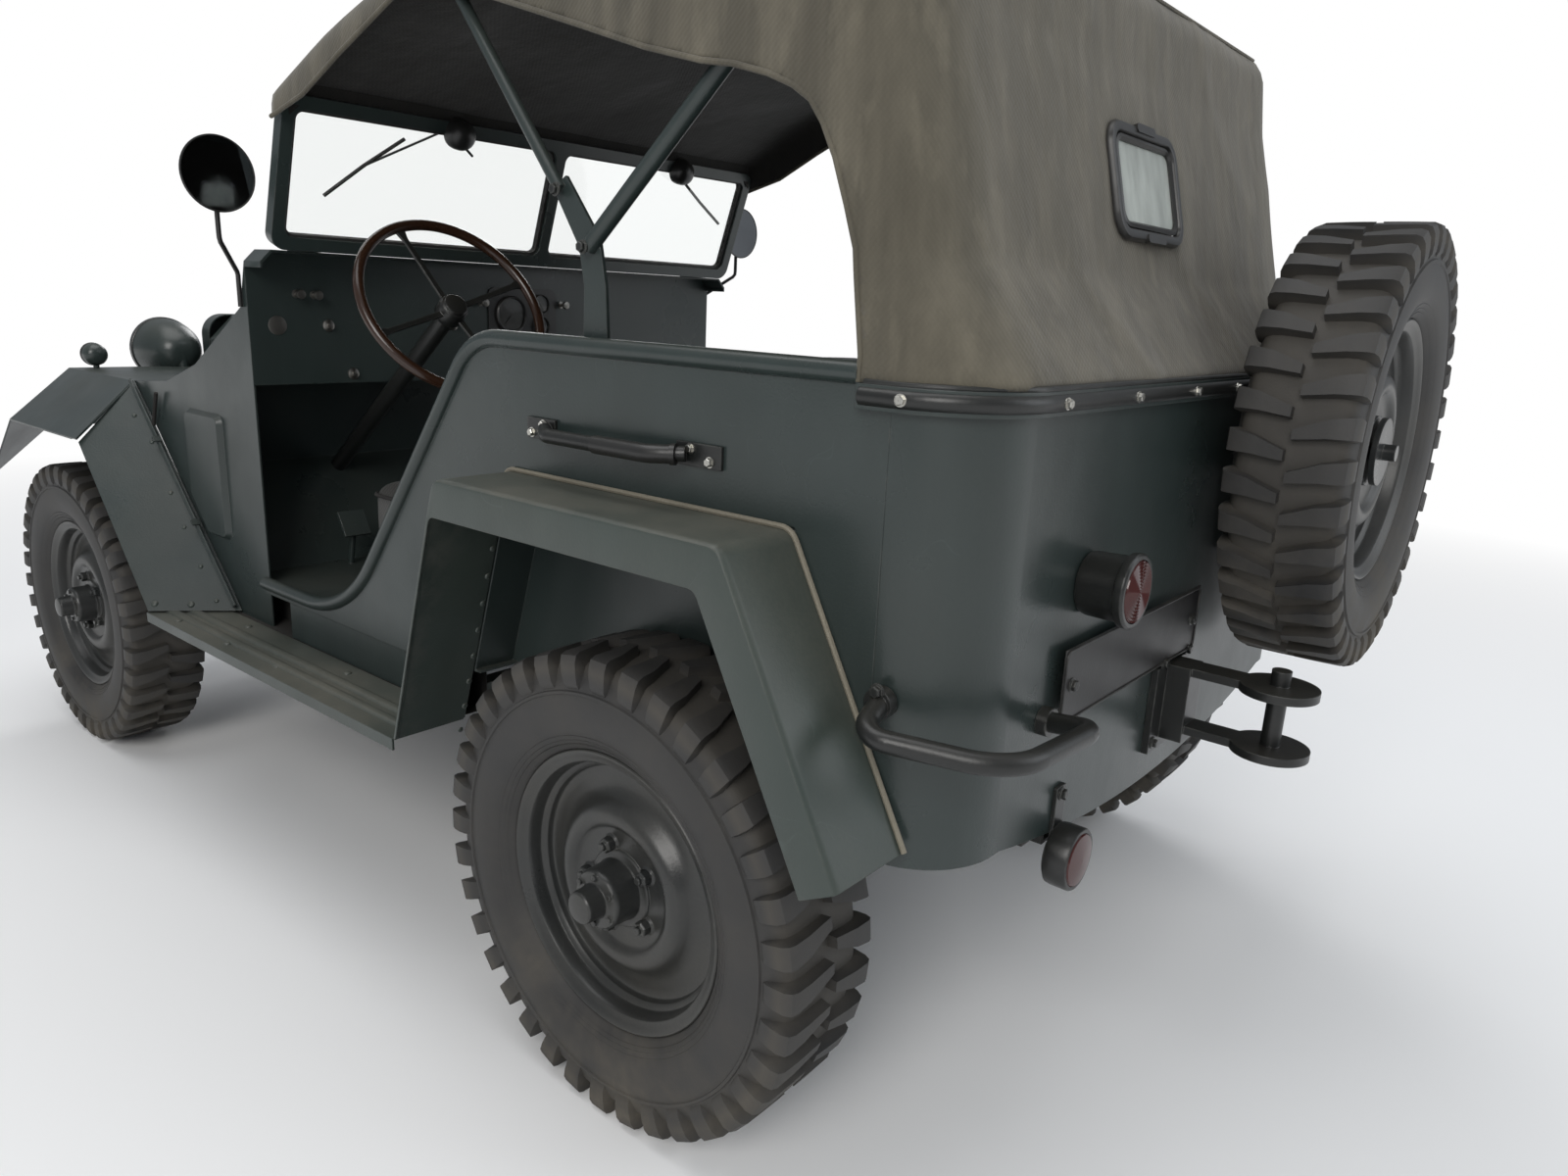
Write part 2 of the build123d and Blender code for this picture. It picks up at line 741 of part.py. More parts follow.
# Body tub: two side panels with the low entrance cut and its bead
seam_x = tub_rear_x + tub_corner_radius
with BuildPart() as tub_sides:
    with BuildSketch(side_plane(tub_half_width)):
        with BuildLine():
            FilletPolyline(*entrance_line[:-1], (seam_x, tub_top_z), radius=entrance_radii)
            Polyline(
                (seam_x, tub_top_z),
                (seam_x, side_bottom_z),
                (tub_front_x, side_bottom_z),
                entrance_line[0],
            )
        make_face()
        with BuildLine():
            Polyline(
                (ahead(470), side_bottom_z - 1),
                *offset_line(wheel_box_line, sheet)[1:3],
                (ahead(-450), side_bottom_z - 1),
                close=True,
            )
        make_face(mode=Mode.SUBTRACT)
    extrude(amount=sheet)
    bent_tube([(x, tub_half_width - 2, z) for x, z in entrance_line], entrance_radii, bead_tube_radius)
    mirror(about=Plane.XZ)
save(tub_sides, "tub_sides")

# Rear panel of the tub with its round corners and the dip at the bottom
with BuildPart() as tub_rear:
    with BuildSketch(Plane.XY.offset(rear_dip_z)):
        add(plan_face(seam_x + 50, 0))
        add(plan_face(seam_x + 51, sheet), mode=Mode.SUBTRACT)
    extrude(amount=tub_top_z - rear_dip_z)
    block((seam_x, 800, rear_dip_z - 1), (seam_x + 60, -800, tub_top_z + 1), Mode.SUBTRACT)
    with BuildSketch(Plane.YZ.offset(tub_rear_x - 1)):
        with BuildLine():
            ThreePointArc((-560, rear_bottom_z), (0, rear_dip_z + 0.5), (560, rear_bottom_z))
            Polyline(
                (560, rear_bottom_z),
                (760, rear_bottom_z),
                (760, 400),
                (-760, 400),
                (-760, rear_bottom_z),
                (-560, rear_bottom_z),
            )
        make_face()
    extrude(amount=tub_corner_radius + 2, mode=Mode.SUBTRACT)
    box_cut = [(ahead(470), 400)] + offset_line(wheel_box_line, sheet)[1:3] + [(ahead(-452), 400)]
    for side in (1, -1):
        side_prism(box_cut, *sorted((side * (wheel_box_y - 20), side * 720)), Mode.SUBTRACT)
    # The clamp band that holds the canvas hem round the back of the tub
    with BuildSketch(Plane.XY.offset(clamp_low_z)):
        add(plan_face(clamp_front_x, -clamp_depth))
        add(plan_face(clamp_front_x + 1, -seat_gap), mode=Mode.SUBTRACT)
    extrude(amount=clamp_high_z - clamp_low_z)
save(tub_rear, "tub_rear")

# Rear fenders: a bent sheet with a deep outer lip
with BuildPart() as rear_fenders:
    sheet_strip(wheel_box_line[::-1], -sheet, tub_half_width + seat_gap, half_width)
    sheet_strip(wheel_box_line[::-1], -fender_lip, half_width - sheet, half_width)
    mirror(about=Plane.XZ)
save(rear_fenders, "rear_fenders")

# Running boards: a shallow tray on brackets from the rails
board_rear_x = fender_foot_front[0] + 4
with BuildPart() as running_boards:
    block((board_rear_x, tub_half_width + seat_gap, board_z - sheet), (board_front_x, half_width, board_z))
    block((board_rear_x, half_width - sheet, board_z - board_thickness), (board_front_x, half_width, board_z - 1))
    for station in (ahead(640), fore(-940)):
        rail_face_y = rail_y + rail_width / 2 + seat_gap
        block(
            (station - 20, rail_face_y, board_z - board_thickness),
            (station + 20, half_width - sheet, board_z - sheet),
        )
        block(
            (station - 20, rail_face_y, board_z - board_thickness),
            (station + 20, rail_face_y + sheet, floor_z - 20),
        )
    mirror(about=Plane.XZ)
save(running_boards, "running_boards")

# Cowl: gusset side panels, the top that narrows to the bonnet, firewall, toe board and dash
cowl_side_line = [
    (cowl_rear_x, cowl_foot_z),
    (fore(-736), cowl_foot_z),
    (fore(-242), wing_top_z),
    (fore(-430), wing_top_z + 16),
    (firewall_x, cowl_front_shoulder_z),
    (hood_front_x, hood_foot_z),
    (cowl_rear_x, cowl_shoulder_z),
]
hood_half = cowl_y - 24
bulge_height = 12.0
bulge_taper = 35.0
bulge_corner = 22.0
bulge_line = [
    (fore(-704), 655),
    (fore(-704), 942),
    (fore(-525), 942),
    (fore(-525), 740),
    (fore(-604), 655),
]


def cowl_section(x, inset, shoulder_z, top_half, top_z):
    """Cross-section of the cowl's top, closed a little below its shoulders."""
    with BuildSketch(Plane.YZ.offset(x)) as section:
        with BuildLine():
            Polyline(
                (cowl_y - inset, shoulder_z - 60),
                (cowl_y - inset, shoulder_z - inset),
                (top_half - inset, top_z - inset),
                (-top_half + inset, top_z - inset),
                (-cowl_y + inset, shoulder_z - inset),
                (-cowl_y + inset, shoulder_z - 60),
                close=True,
            )
        make_face()
    return section.sketch.face()


with BuildPart() as cowl:
    for inset, mode in ((0, Mode.ADD), (sheet, Mode.SUBTRACT)):
        extra = inset / 4
        loft(
            [
                cowl_section(cowl_lip_x - extra, inset, cowl_shoulder_z, hood_half, cowl_top_z),
                cowl_section(cowl_rear_x, inset, cowl_shoulder_z, hood_half, cowl_top_z),
                cowl_section(hood_front_x, inset, hood_foot_z, hood_half - 60, cowl_top_z - 16),
                cowl_section(firewall_x + extra, inset, cowl_front_shoulder_z, bonnet_half_width, bonnet_rear_z),
            ],
            ruled=True,
            mode=mode,
        )
    cowl_inner_y = cowl_y - sheet
    block((cowl_rear_x - 100, cowl_inner_y, cowl_foot_z), (fore(-200), -cowl_inner_y, 1020), Mode.SUBTRACT)
    block((cowl_lip_x - 5, 700, 900), (cowl_rear_x, -700, cowl_shoulder_z - 12), Mode.SUBTRACT)
    for side in (1, -1):
        side_prism(cowl_side_line, *sorted((side * cowl_y, side * cowl_inner_y)))
    cross_prism(
        [
            (cowl_inner_y, toe_board_top_z - 4),
            (cowl_inner_y, cowl_front_shoulder_z - 4),
            (bonnet_half_width - 4, bonnet_rear_z - 4),
            (-bonnet_half_width + 4, bonnet_rear_z - 4),
            (-cowl_inner_y, cowl_front_shoulder_z - 4),
            (-cowl_inner_y, toe_board_top_z - 4),
        ],
        firewall_x - sheet,
        firewall_x,
    )
    sheet_strip(
        [(floor_front_x + seat_gap, floor_z + sheet), (firewall_x, toe_board_top_z)], sheet, -cowl_inner_y, cowl_inner_y
    )
    block(
        (floor_front_x - 10, tunnel_half_width + seat_gap, floor_z - 20),
        (firewall_x + 20, -tunnel_half_width - seat_gap, floor_z + tunnel_height + seat_gap),
        Mode.SUBTRACT,
    )
    cross_prism(
        [
            (cowl_inner_y, 1020),
            (cowl_inner_y, cowl_shoulder_z - 4),
            (hood_half - 4, cowl_top_z - 4),
            (-hood_half + 4, cowl_top_z - 4),
            (-cowl_inner_y, cowl_shoulder_z - 4),
            (-cowl_inner_y, 1020),
        ],
        cowl_rear_x,
        cowl_rear_x + sheet,
    )
    rod(tuple(steer_box), tuple(steer_hub), column_radius + seat_gap, Mode.SUBTRACT)
    for low_y in (-hinge_y - 20, -hinge_y + 16, hinge_y - 20, hinge_y + 16):
        block((firewall_x - 14, low_y, hinge_z - 6), (hinge_x, low_y + 4, hinge_z + 4))
    for side in (1, -1):
        rod(
            (hinge_x, side * hinge_y - 20, hinge_z),
            (hinge_x, side * hinge_y + 20, hinge_z),
            hinge_pin_radius,
        )
        block((firewall_x - 14, side * hinge_y - 20, bonnet_rear_z - 1), (firewall_x - 2, side * hinge_y + 20, hinge_z))
    # The pressed bulge in the left side panel
    with BuildSketch(side_plane(cowl_y)) as bulge_foot:
        with BuildLine():
            FilletPolyline(*bulge_line, bulge_line[0], radius=bulge_corner, close=True)
        make_face()
    extrude(bulge_foot.sketch, amount=-bulge_height, taper=bulge_taper)
save(cowl, "cowl")

# Windshield: a frame of flat bar with a centre post, leaning back, and its two panes
shield_plane = Plane(
    origin=(shield_base_x, 0, shield_base_z),
    x_dir=(0, 1, 0),
    z_dir=(cos(radians(shield_lean)), 0, sin(radians(shield_lean))),
)
pane_width = shield_half_width - 1.5 * shield_bar
pane_height = shield_height - 2 * shield_bar
pane_places = [(side * (shield_bar + pane_width) / 2, shield_height / 2) for side in (1, -1)]
with BuildPart() as windshield_frame:
    with BuildSketch(shield_plane):
        with Locations((0, shield_height / 2)):
            RectangleRounded(2 * shield_half_width, shield_height, 30)
        with Locations(*pane_places):
            RectangleRounded(pane_width, pane_height, shield_corner, mode=Mode.SUBTRACT)
    extrude(amount=-shield_bar)
    for side in (1, -1):
        block(
            (shield_base_x - 15, side * (shield_half_width - 112), cowl_top_z + seat_gap),
            (shield_base_x + 50, side * (shield_half_width - 72), shield_base_z + 8),
        )
save(windshield_frame, "windshield_frame")

with BuildPart() as windshield_glass:
    with BuildSketch(shield_plane.offset(-shield_bar / 2)):
        with Locations(*pane_places):
            RectangleRounded(pane_width, pane_height, shield_corner)
    extrude(amount=glass_thickness)
save(windshield_glass, "windshield_glass")

# Bonnet: one sheet cover, wide at the cowl and narrow at the grille, hinged at the back
bonnet_rear_x = firewall_x + moving_gap


def bonnet_section(x, inset, half, top_z):
    """Cross-section of the bonnet, with chamfered shoulders and open underneath."""
    with BuildSketch(Plane.YZ.offset(x)) as section:
        with BuildLine():
            Polyline(
                (half - inset, bonnet_foot_z - inset),
                (half - inset, top_z - 70),
                (half - 70 - inset / 2, top_z - inset),
                (-half + 70 + inset / 2, top_z - inset),
                (-half + inset, top_z - 70),
                (-half + inset, bonnet_foot_z - inset),
                close=True,
            )
        make_face()
    return section.sketch.face()


with BuildPart() as bonnet:
    for inset, mode in ((0, Mode.ADD), (sheet, Mode.SUBTRACT)):
        extra = inset / 4
        loft(
            [
                bonnet_section(bonnet_rear_x - extra, inset, bonnet_half_width, bonnet_rear_z),
                bonnet_section(bonnet_nose_x + extra, inset, bonnet_nose_half_width, bonnet_nose_z),
            ],
            ruled=True,
            mode=mode,
        )
    for side in (1, -1):
        rod(
            (hinge_x, side * hinge_y - 14, hinge_z),
            (hinge_x, side * hinge_y + 14, hinge_z),
            hinge_eye_radius,
        )
        rod(
            (hinge_x, side * hinge_y - 15, hinge_z),
            (hinge_x, side * hinge_y + 15, hinge_z),
            hinge_pin_radius + seat_gap,
            Mode.SUBTRACT,
        )
save(bonnet, "bonnet")

# Radiator grille: a shallow pressed shell with upright slots, and the radiator core behind it
slot_pitch = 44.0
slot_width = 22.0
with BuildPart() as grille:
    grille_middle_z = (grille_top_z + grille_bottom_z) / 2
    grille_height = grille_top_z - grille_bottom_z
    with BuildSketch(Plane.YZ.offset(grille_x)):
        with Locations((0, grille_middle_z)):
            RectangleRounded(2 * grille_half_width, grille_height, 60)
    extrude(amount=grille_depth)
    with BuildSketch(Plane.YZ.offset(grille_x - 1)):
        with Locations((0, grille_middle_z)):
            RectangleRounded(2 * grille_half_width - 2 * sheet, grille_height - 2 * sheet, 60 - sheet)
    extrude(amount=grille_depth + 1 - sheet, mode=Mode.SUBTRACT)
    with BuildSketch(Plane.YZ.offset(grille_x - 1)):
        with Locations((0, grille_middle_z)):
            with GridLocations(slot_pitch, 1, 13, 1):
                Rectangle(slot_width, grille_height - 120)
    extrude(amount=grille_depth + 5, mode=Mode.SUBTRACT)
save(grille, "grille")

with BuildPart() as radiator:
    block((grille_x - 60, 280, grille_bottom_z - 5), (grille_x - 5, -280, grille_top_z - 40))
    block((grille_x - 60, rail_y, floor_z), (grille_x + grille_depth, -rail_y, grille_bottom_z - seat_gap))
save(radiator, "radiator")

# Front wings: flat shelf beside the bonnet, sloping outer part, rear plate down to the step
wing_seam_y = cowl_y + 2.4
wing_fold_inner = (fore(-242), wing_seam_y, wing_top_z)
wing_fold_outer = (fore(-268), half_width, wing_outer_z)
wing_foot_outer = (fore(-595), half_width, board_z + 5)
wing_foot_inner = (fore(-725), wing_seam_y, board_z + 5)
with BuildPart() as front_wings:
    with BuildSketch(Plane.XY.offset(wing_top_z - sheet)):
        with BuildLine():
            Polyline(
                (bonnet_rear_x, bonnet_half_width + moving_gap),
                (bonnet_rear_x, cowl_y - sheet - seat_gap),
                (wing_fold_inner[0] + 6, cowl_y - sheet - seat_gap),
                (wing_fold_inner[0] + 6, wing_seam_y),
                (wing_front_x, wing_seam_y),
                (wing_front_x, bonnet_nose_half_width + moving_gap),
                (bonnet_nose_x, bonnet_nose_half_width + moving_gap),
                close=True,
            )
        make_face()
    extrude(amount=sheet)
    cross_prism(
        [
            (wing_seam_y, wing_top_z),
            (half_width, wing_outer_z),
            (half_width, wing_outer_z - sheet),
            (wing_seam_y, wing_top_z - sheet),
        ],
        wing_fold_inner[0],
        wing_front_x,
    )
    flat_plate([wing_fold_inner, wing_foot_inner, wing_foot_outer, wing_fold_outer], sheet)
    flat_plate([wing_fold_inner, wing_fold_outer, (wing_fold_inner[0] + 1, half_width, wing_outer_z)], sheet)
    tip_drop = wing_top_z - wing_tip_z
    inner_front_y = bonnet_nose_half_width + moving_gap
    flat_plate(
        [
            (wing_front_x, inner_front_y, wing_top_z),
            (wing_front_x, wing_seam_y, wing_top_z),
            (wing_tip_x, wing_seam_y, wing_tip_z),
            (wing_tip_x, inner_front_y, wing_tip_z),
        ],
        sheet,
    )
    flat_plate(
        [
            (wing_front_x, wing_seam_y, wing_top_z),
            (wing_front_x, half_width, wing_outer_z),
            (wing_tip_x, half_width, wing_outer_z - tip_drop),
            (wing_tip_x, wing_seam_y, wing_tip_z),
        ],
        sheet,
    )
    block(
        (firewall_x + moving_gap, bonnet_half_width + moving_gap, floor_z + seat_gap),
        (fore(180), bonnet_half_width + moving_gap + sheet, wing_top_z - 1),
    )
    block((fore(-800), half_width, 400), (front_end_x, bonnet_nose_half_width - 30, wing_top_z + 120), Mode.INTERSECT)
    mirror(about=Plane.XZ)
save(front_wings, "front_wings")

# Steering column from the box on the rail up to the wheel, and the four-spoked wheel
steer_wheel_seat = 36.0
with BuildPart() as steering_column:
    rod(tuple(steer_box), tuple(steer_hub - column_axis * (steer_wheel_seat + seat_gap)), column_radius)
    block((fore(-440), rail_y - 60, floor_z), (fore(-340), bonnet_half_width, 690))
save(steering_column, "steering_column")

steer_plane = Plane(origin=steer_hub, x_dir=(0, 1, 0), z_dir=column_axis)
rim_corners = 32
with BuildPart() as steering_wheel:
    with BuildSketch(steer_plane.offset(-steer_wheel_seat)):
        Circle(30)
    extrude(amount=46)
    rim_points = []
    for index in range(rim_corners):
        turn = 2 * pi * (index + 0.5) / rim_corners
        rim_points.append(
            steer_plane.from_local_coords(Vector(steer_wheel_radius * cos(turn), steer_wheel_radius * sin(turn), 0))
        )
    with BuildLine() as rim_route:
        Polyline(*rim_points, close=True)
    rim_start = rim_route.wire() @ 0.0001
    with BuildSketch(Plane(origin=rim_start, x_dir=column_axis, z_dir=rim_route.wire() % 0.0001)) as rim_section:
        RegularPolygon(steer_rim_radius, 6)
    sweep(rim_section.sketch, path=rim_route.wire(), transition=Transition.RIGHT)
    for quarter in range(4):
        turn = radians(17 + 90 * quarter)
        rod(
            tuple(steer_plane.from_local_coords(Vector(20 * cos(turn), 20 * sin(turn), -12))),
            tuple(steer_plane.from_local_coords(Vector(188 * cos(turn), 188 * sin(turn), -1))),
            5,
        )
save(steering_wheel, "steering_wheel")

# Canvas top: walls that lean in above the hem, with round rear corners, under a roof that peaks
# over the front bow. Columns: station, roof height, shoulder radius
front_bow_x = ahead(600)
main_bow_x = ahead(-259)
canvas_front_x = shield_base_x - shield_height * sin(radians(shield_lean)) + 4
front_bow_roof_z = 1786.0
main_bow_roof_z = 1748.0
roof_table = [
    (canvas_front_x, shield_top_z + seat_gap + canvas, 34.0),
    (canvas_front_x - 178, 1688.0, 56.0),
    (front_bow_x, front_bow_roof_z, 62.0),
    (main_bow_x, main_bow_roof_z, 58.0),
    (tub_rear_x - 30, main_bow_roof_z, 58.0),
]

# Columns: height, station of the rear face, half width at the back, half width in front, corner radius
hem_rear_x = tub_rear_x - seat_gap - canvas
hem_corner = tub_corner_radius + seat_gap + canvas
wall_table = [
    (1100.0, hem_rear_x, canvas_hem_y, canvas_hem_y, hem_corner),
    (tub_top_z + 3, hem_rear_x, canvas_hem_y, canvas_hem_y, hem_corner),
    (1300.0, ahead(-432), canvas_hem_y - 9, canvas_hem_y - 7, hem_corner - 5),
    (1600.0, ahead(-358), canvas_hem_y - 36, canvas_hem_y - 26, hem_corner - 20),
    (1820.0, ahead(-330), canvas_hem_y - 58, canvas_hem_y - 40, hem_corner - 35),
]
quarter_line = [
    (ahead(-341), 1120),
    (ahead(-341), 1185),
    (ahead(-300), 1350),
    (ahead(-247), 1466),
    (ahead(-201), 1495),
    (ahead(-20), 1538),
    (ahead(302), 1632),
    (front_bow_x, 1722),
    (ahead(830), 1626),
    (ahead(960), 1567),
    (canvas_front_x + 30, 1528),
    (canvas_front_x + 30, 1120),
]


def roof_height(x):
    """Height of the canvas at the middle of the car, at station x."""
    for (x_high, z_high, _), (x_low, z_low, _) in zip(roof_table, roof_table[1:]):
        if x_low <= x <= x_high:
            return z_low + (x - x_low) / (x_high - x_low) * (z_high - z_low)
    return roof_table[-1][1]


def wall_half(x, z):
    """Half width of the canvas walls at station x and height z."""
    for lower, upper in zip(wall_table, wall_table[1:]):
        if lower[0] <= z <= upper[0]:
            share = (z - lower[0]) / (upper[0] - lower[0])
            back = lower[2] + share * (upper[2] - lower[2])
            front = lower[3] + share * (upper[3] - lower[3])
            rear_x = lower[1] + share * (upper[1] - lower[1])
            return back + (x - rear_x) / (canvas_front_x - rear_x) * (front - back)
    return wall_table[-1][2]


def roof_section(x, roof_z, shoulder, inset):
    """Cross-section of all that lies under the roof, round at the shoulders and wide below them."""
    corner_y = wall_half(x, roof_z - 0.83 * shoulder) - inset - 0.265 * (shoulder - inset)
    top_z = roof_z - inset
    with BuildSketch(Plane.YZ.offset(x)) as section:
        with BuildLine():
            FilletPolyline(
                (corner_y + 90, top_z - 270),
                (corner_y, top_z),
                (-corner_y, top_z),
                (-corner_y - 90, top_z - 270),
                radius=[shoulder - inset, shoulder - inset],
            )
            Polyline(
                (-corner_y - 90, top_z - 270),
                (-corner_y - 90, 1000),
                (corner_y + 90, 1000),
                (corner_y + 90, top_z - 270),
            )
        make_face()
    return section.sketch.face()


def wall_section(z, rear_x, back, front, corner, inset):
    """Plan of the space between the canvas walls at one height."""
    with BuildSketch(Plane.XY.offset(z)) as section:
        with BuildLine():
            FilletPolyline(
                (canvas_front_x, front - inset),
                (rear_x + inset, back - inset),
                (rear_x + inset, -back + inset),
                (canvas_front_x, -front + inset),
                radius=[corner - inset, corner - inset],
            )
            Line((canvas_front_x, -front + inset), (canvas_front_x, front - inset))
        make_face()
    return section.sketch.face()


def canvas_block(inset):
    """The space under the canvas, inset from its outside."""
    with BuildPart() as space:
        loft([wall_section(*row, inset) for row in wall_table], ruled=True)
        with BuildPart(mode=Mode.PRIVATE) as under_roof:
            loft([roof_section(*row, inset) for row in roof_table], ruled=True)
        add(under_roof.part, mode=Mode.INTERSECT)
    return space.part


with BuildPart() as canvas_top:
    add(canvas_block(0))
    add(canvas_block(canvas), mode=Mode.SUBTRACT)
    side_prism(quarter_line, -900, 900, Mode.SUBTRACT)
    block((ahead(-800), 900, 1090), (fore(-900), -900, canvas_hem_z), Mode.SUBTRACT)
    shield_seat_y = shield_half_width + seat_gap
    block((canvas_front_x - 34, shield_seat_y, 1480), (fore(-900), -shield_seat_y, shield_top_z + seat_gap), Mode.SUBTRACT)
    with BuildSketch(window_plane.offset(-20)):
        RectangleRounded(window_width - 16, window_height - 16, 24)
    extrude(amount=60, mode=Mode.SUBTRACT)
save(canvas_top, "canvas_top")

# Rear window in the canvas
with BuildPart() as rear_window:
    with BuildSketch(window_plane):
        RectangleRounded(window_width, window_height, 30)
    extrude(amount=6)
    with BuildSketch(window_plane):
        RectangleRounded(window_width - 17, window_height - 17, 23.5)
    extrude(amount=-12)
save(rear_window, "rear_window")

# Bows under the canvas, with the bracket that carries them on each side of the tub
bow_y = tub_half_width - 45
main_bow_radius = 13.0
front_bow_radius = 10.0
main_bow_z = roof_height(main_bow_x) - canvas - main_bow_radius - seat_gap
front_bow_z = roof_height(front_bow_x + front_bow_radius) - canvas - front_bow_radius - 1.5
with BuildPart() as top_bows:
    for side in (1, -1):
        side_prism(
            [
                (ahead(158), tub_top_z - 60),
                (ahead(218), tub_top_z - 60),
                (ahead(214), 1250),
                (ahead(225), 1306),
                (ahead(285), 1392),
                (ahead(255), 1408),
                (ahead(180), 1318),
                (ahead(166), 1250),
            ],
            *sorted((side * (bow_y - 9), side * (bow_y - 3))),
        )
        block(
            (ahead(158), side * (bow_y - 9), tub_top_z - 80),
            (ahead(218), side * (tub_half_width - sheet - seat_gap), tub_top_z - 55),
        )
    bent_tube(
        [
            (ahead(199), bow_y, 1306),
            (main_bow_x, bow_y - 25, main_bow_z),
            (main_bow_x, -bow_y + 25, main_bow_z),
            (ahead(199), -bow_y, 1306),
        ],
        [70, 70],
        main_bow_radius,
    )
    bent_tube(
        [
            (ahead(264), bow_y, 1388),
            (front_bow_x, bow_y - 25, front_bow_z),
            (front_bow_x, -bow_y + 25, front_bow_z),
            (ahead(264), -bow_y, 1388),
        ],
        [70, 70],
        front_bow_radius,
    )
save(top_bows, "top_bows")

# Spare wheel carrier: a plate on the tub, a stub to the disc and the nut through its hole
with BuildPart() as spare_carrier:
    carrier_x = tub_rear_x - seat_gap
    disc_face_x = spare_x - disc_offset - dome_height
    block((carrier_x, spare_y - 110, spare_z - 190), (carrier_x - 8, spare_y + 110, spare_z + 70))
    rod((carrier_x - 8, spare_y, spare_z), (disc_face_x + disc_thickness + seat_gap, spare_y, spare_z), 60)
    rod((disc_face_x + 20, spare_y, spare_z), (disc_face_x - 30, spare_y, spare_z), 14)
    rod((disc_face_x - seat_gap, spare_y, spare_z), (disc_face_x - 10, spare_y, spare_z), 58)
save(spare_carrier, "spare_carrier")

# Towing coupling on the back of the tub: bracket, two round jaws and the pin
jaw_x = rear_end_x + 60
with BuildPart() as tow_coupling:
    block((tub_rear_x - seat_gap, -70, 540), (tub_rear_x - 12, 70, 690))
    block((tub_rear_x - 10, -30, 560), (tub_rear_x - 50, 30, 690))
    for level in (575.0, 676.0):
        with BuildSketch(Plane.XY.offset(level)):
            with Locations((jaw_x, 0)):
                Circle(60)
            with Locations(((jaw_x + tub_rear_x - 20) / 2, 0)):
                Rectangle(tub_rear_x - 20 - jaw_x, 50)
        extrude(amount=14)
    rod((jaw_x, 0, 560), (jaw_x, 0, 715), 15)
save(tow_coupling, "tow_coupling")

# Grab handles on the tub sides, and the corner guard round the left rear corner
with BuildPart() as grab_handles:
    face_y = tub_half_width + seat_gap
    grip_y = tub_half_width + 42
    for plate_rear, plate_front in ((-124, -40), (220, 286)):
        block((ahead(plate_rear), face_y, 1020), (ahead(plate_front), face_y + 5, 1052))
    bent_tube(
        [
            (ahead(238), face_y + 10, 1036),
            (ahead(195), grip_y, 1034),
            (ahead(-20), grip_y, 1034),
            (ahead(-63), face_y + 10, 1036),
        ],
        [24, 24],
        11,
    )
    mirror(about=Plane.XZ)
    guard_x = tub_rear_x - 90
    bent_tube(
        [
            (ahead(-404), tub_half_width + 8, 771),
            (ahead(-420), tub_half_width + 75, 752),
            (guard_x + 10, tub_half_width + 10, 740),
            (guard_x, 510, 735),
            (tub_rear_x - 8, 474, 713),
        ],
        [30, 90, 40],
        14,
    )
    rod((ahead(-404), tub_half_width + seat_gap, 771), (ahead(-404), tub_half_width + 16, 771), 20)
    rod((tub_rear_x - seat_gap, 474, 713), (tub_rear_x - 16, 474, 713), 20)
save(grab_handles, "grab_handles")

# Tail lamp and the lower reflector on its strap
lamp_face_x = tub_rear_x - seat_gap
with BuildPart() as rear_lamps:
    rod((lamp_face_x, 377, 889), (lamp_face_x - 62, 377, 889), 46)
    rod((lamp_face_x - 62, 377, 889), (lamp_face_x - 74, 377, 889), 52)
    block((lamp_face_x, 375, 486), (lamp_face_x - 6, 405, 590))
    rod((lamp_face_x - 5, 390, 486), (lamp_face_x - 45, 390, 486), 47)
save(rear_lamps, "rear_lamps")

with BuildPart() as number_plate:
    block((tub_rear_x - 12.3, 448, 698), (tub_rear_x - 14.3, -72, 808))
    for bolt_y in (400, -20):
        rod((lamp_face_x, bolt_y, 753), (tub_rear_x - 13, bolt_y, 753), 12)
save(number_plate, "number_plate")

# Headlamps on the wings' front slopes and side lamps on their shelves
headlamp_radius = 92.0
headlamp_y = bonnet_nose_half_width + 72
headlamp_z = 1022.0
headlamp_rear_x = wing_front_x - 25
side_lamp_y = 630.0
side_lamp_z = 1016.0
lamp_shelf_z = wing_top_z + seat_gap
with BuildPart() as front_lamps:
    for side in (1, -1):
        lamp_plane = Plane(origin=(headlamp_rear_x, side * headlamp_y, headlamp_z), x_dir=(0, 1, 0), z_dir=(1, 0, 0))
        sections = []
        for reach, radius in ((0, 28), (58, 60), (125, headlamp_radius - 4)):
            with BuildSketch(lamp_plane.offset(reach)) as lamp_ring:
                Circle(radius)
            sections.append(lamp_ring.sketch.face())
        loft(sections, ruled=True)
        rod(
            (headlamp_rear_x + 125, side * headlamp_y, headlamp_z),
            (headlamp_rear_x + 146, side * headlamp_y, headlamp_z),
            headlamp_radius,
        )
        rod((wing_front_x - 16, side * headlamp_y, lamp_shelf_z), (wing_front_x - 16, side * headlamp_y, headlamp_z), 14)
        rod((wing_front_x - 45, side * side_lamp_y, side_lamp_z), (wing_front_x, side * side_lamp_y, side_lamp_z), 30)
        rod((wing_front_x - 20, side * side_lamp_y, lamp_shelf_z), (wing_front_x - 20, side * side_lamp_y, side_lamp_z), 8)
save(front_lamps, "front_lamps")

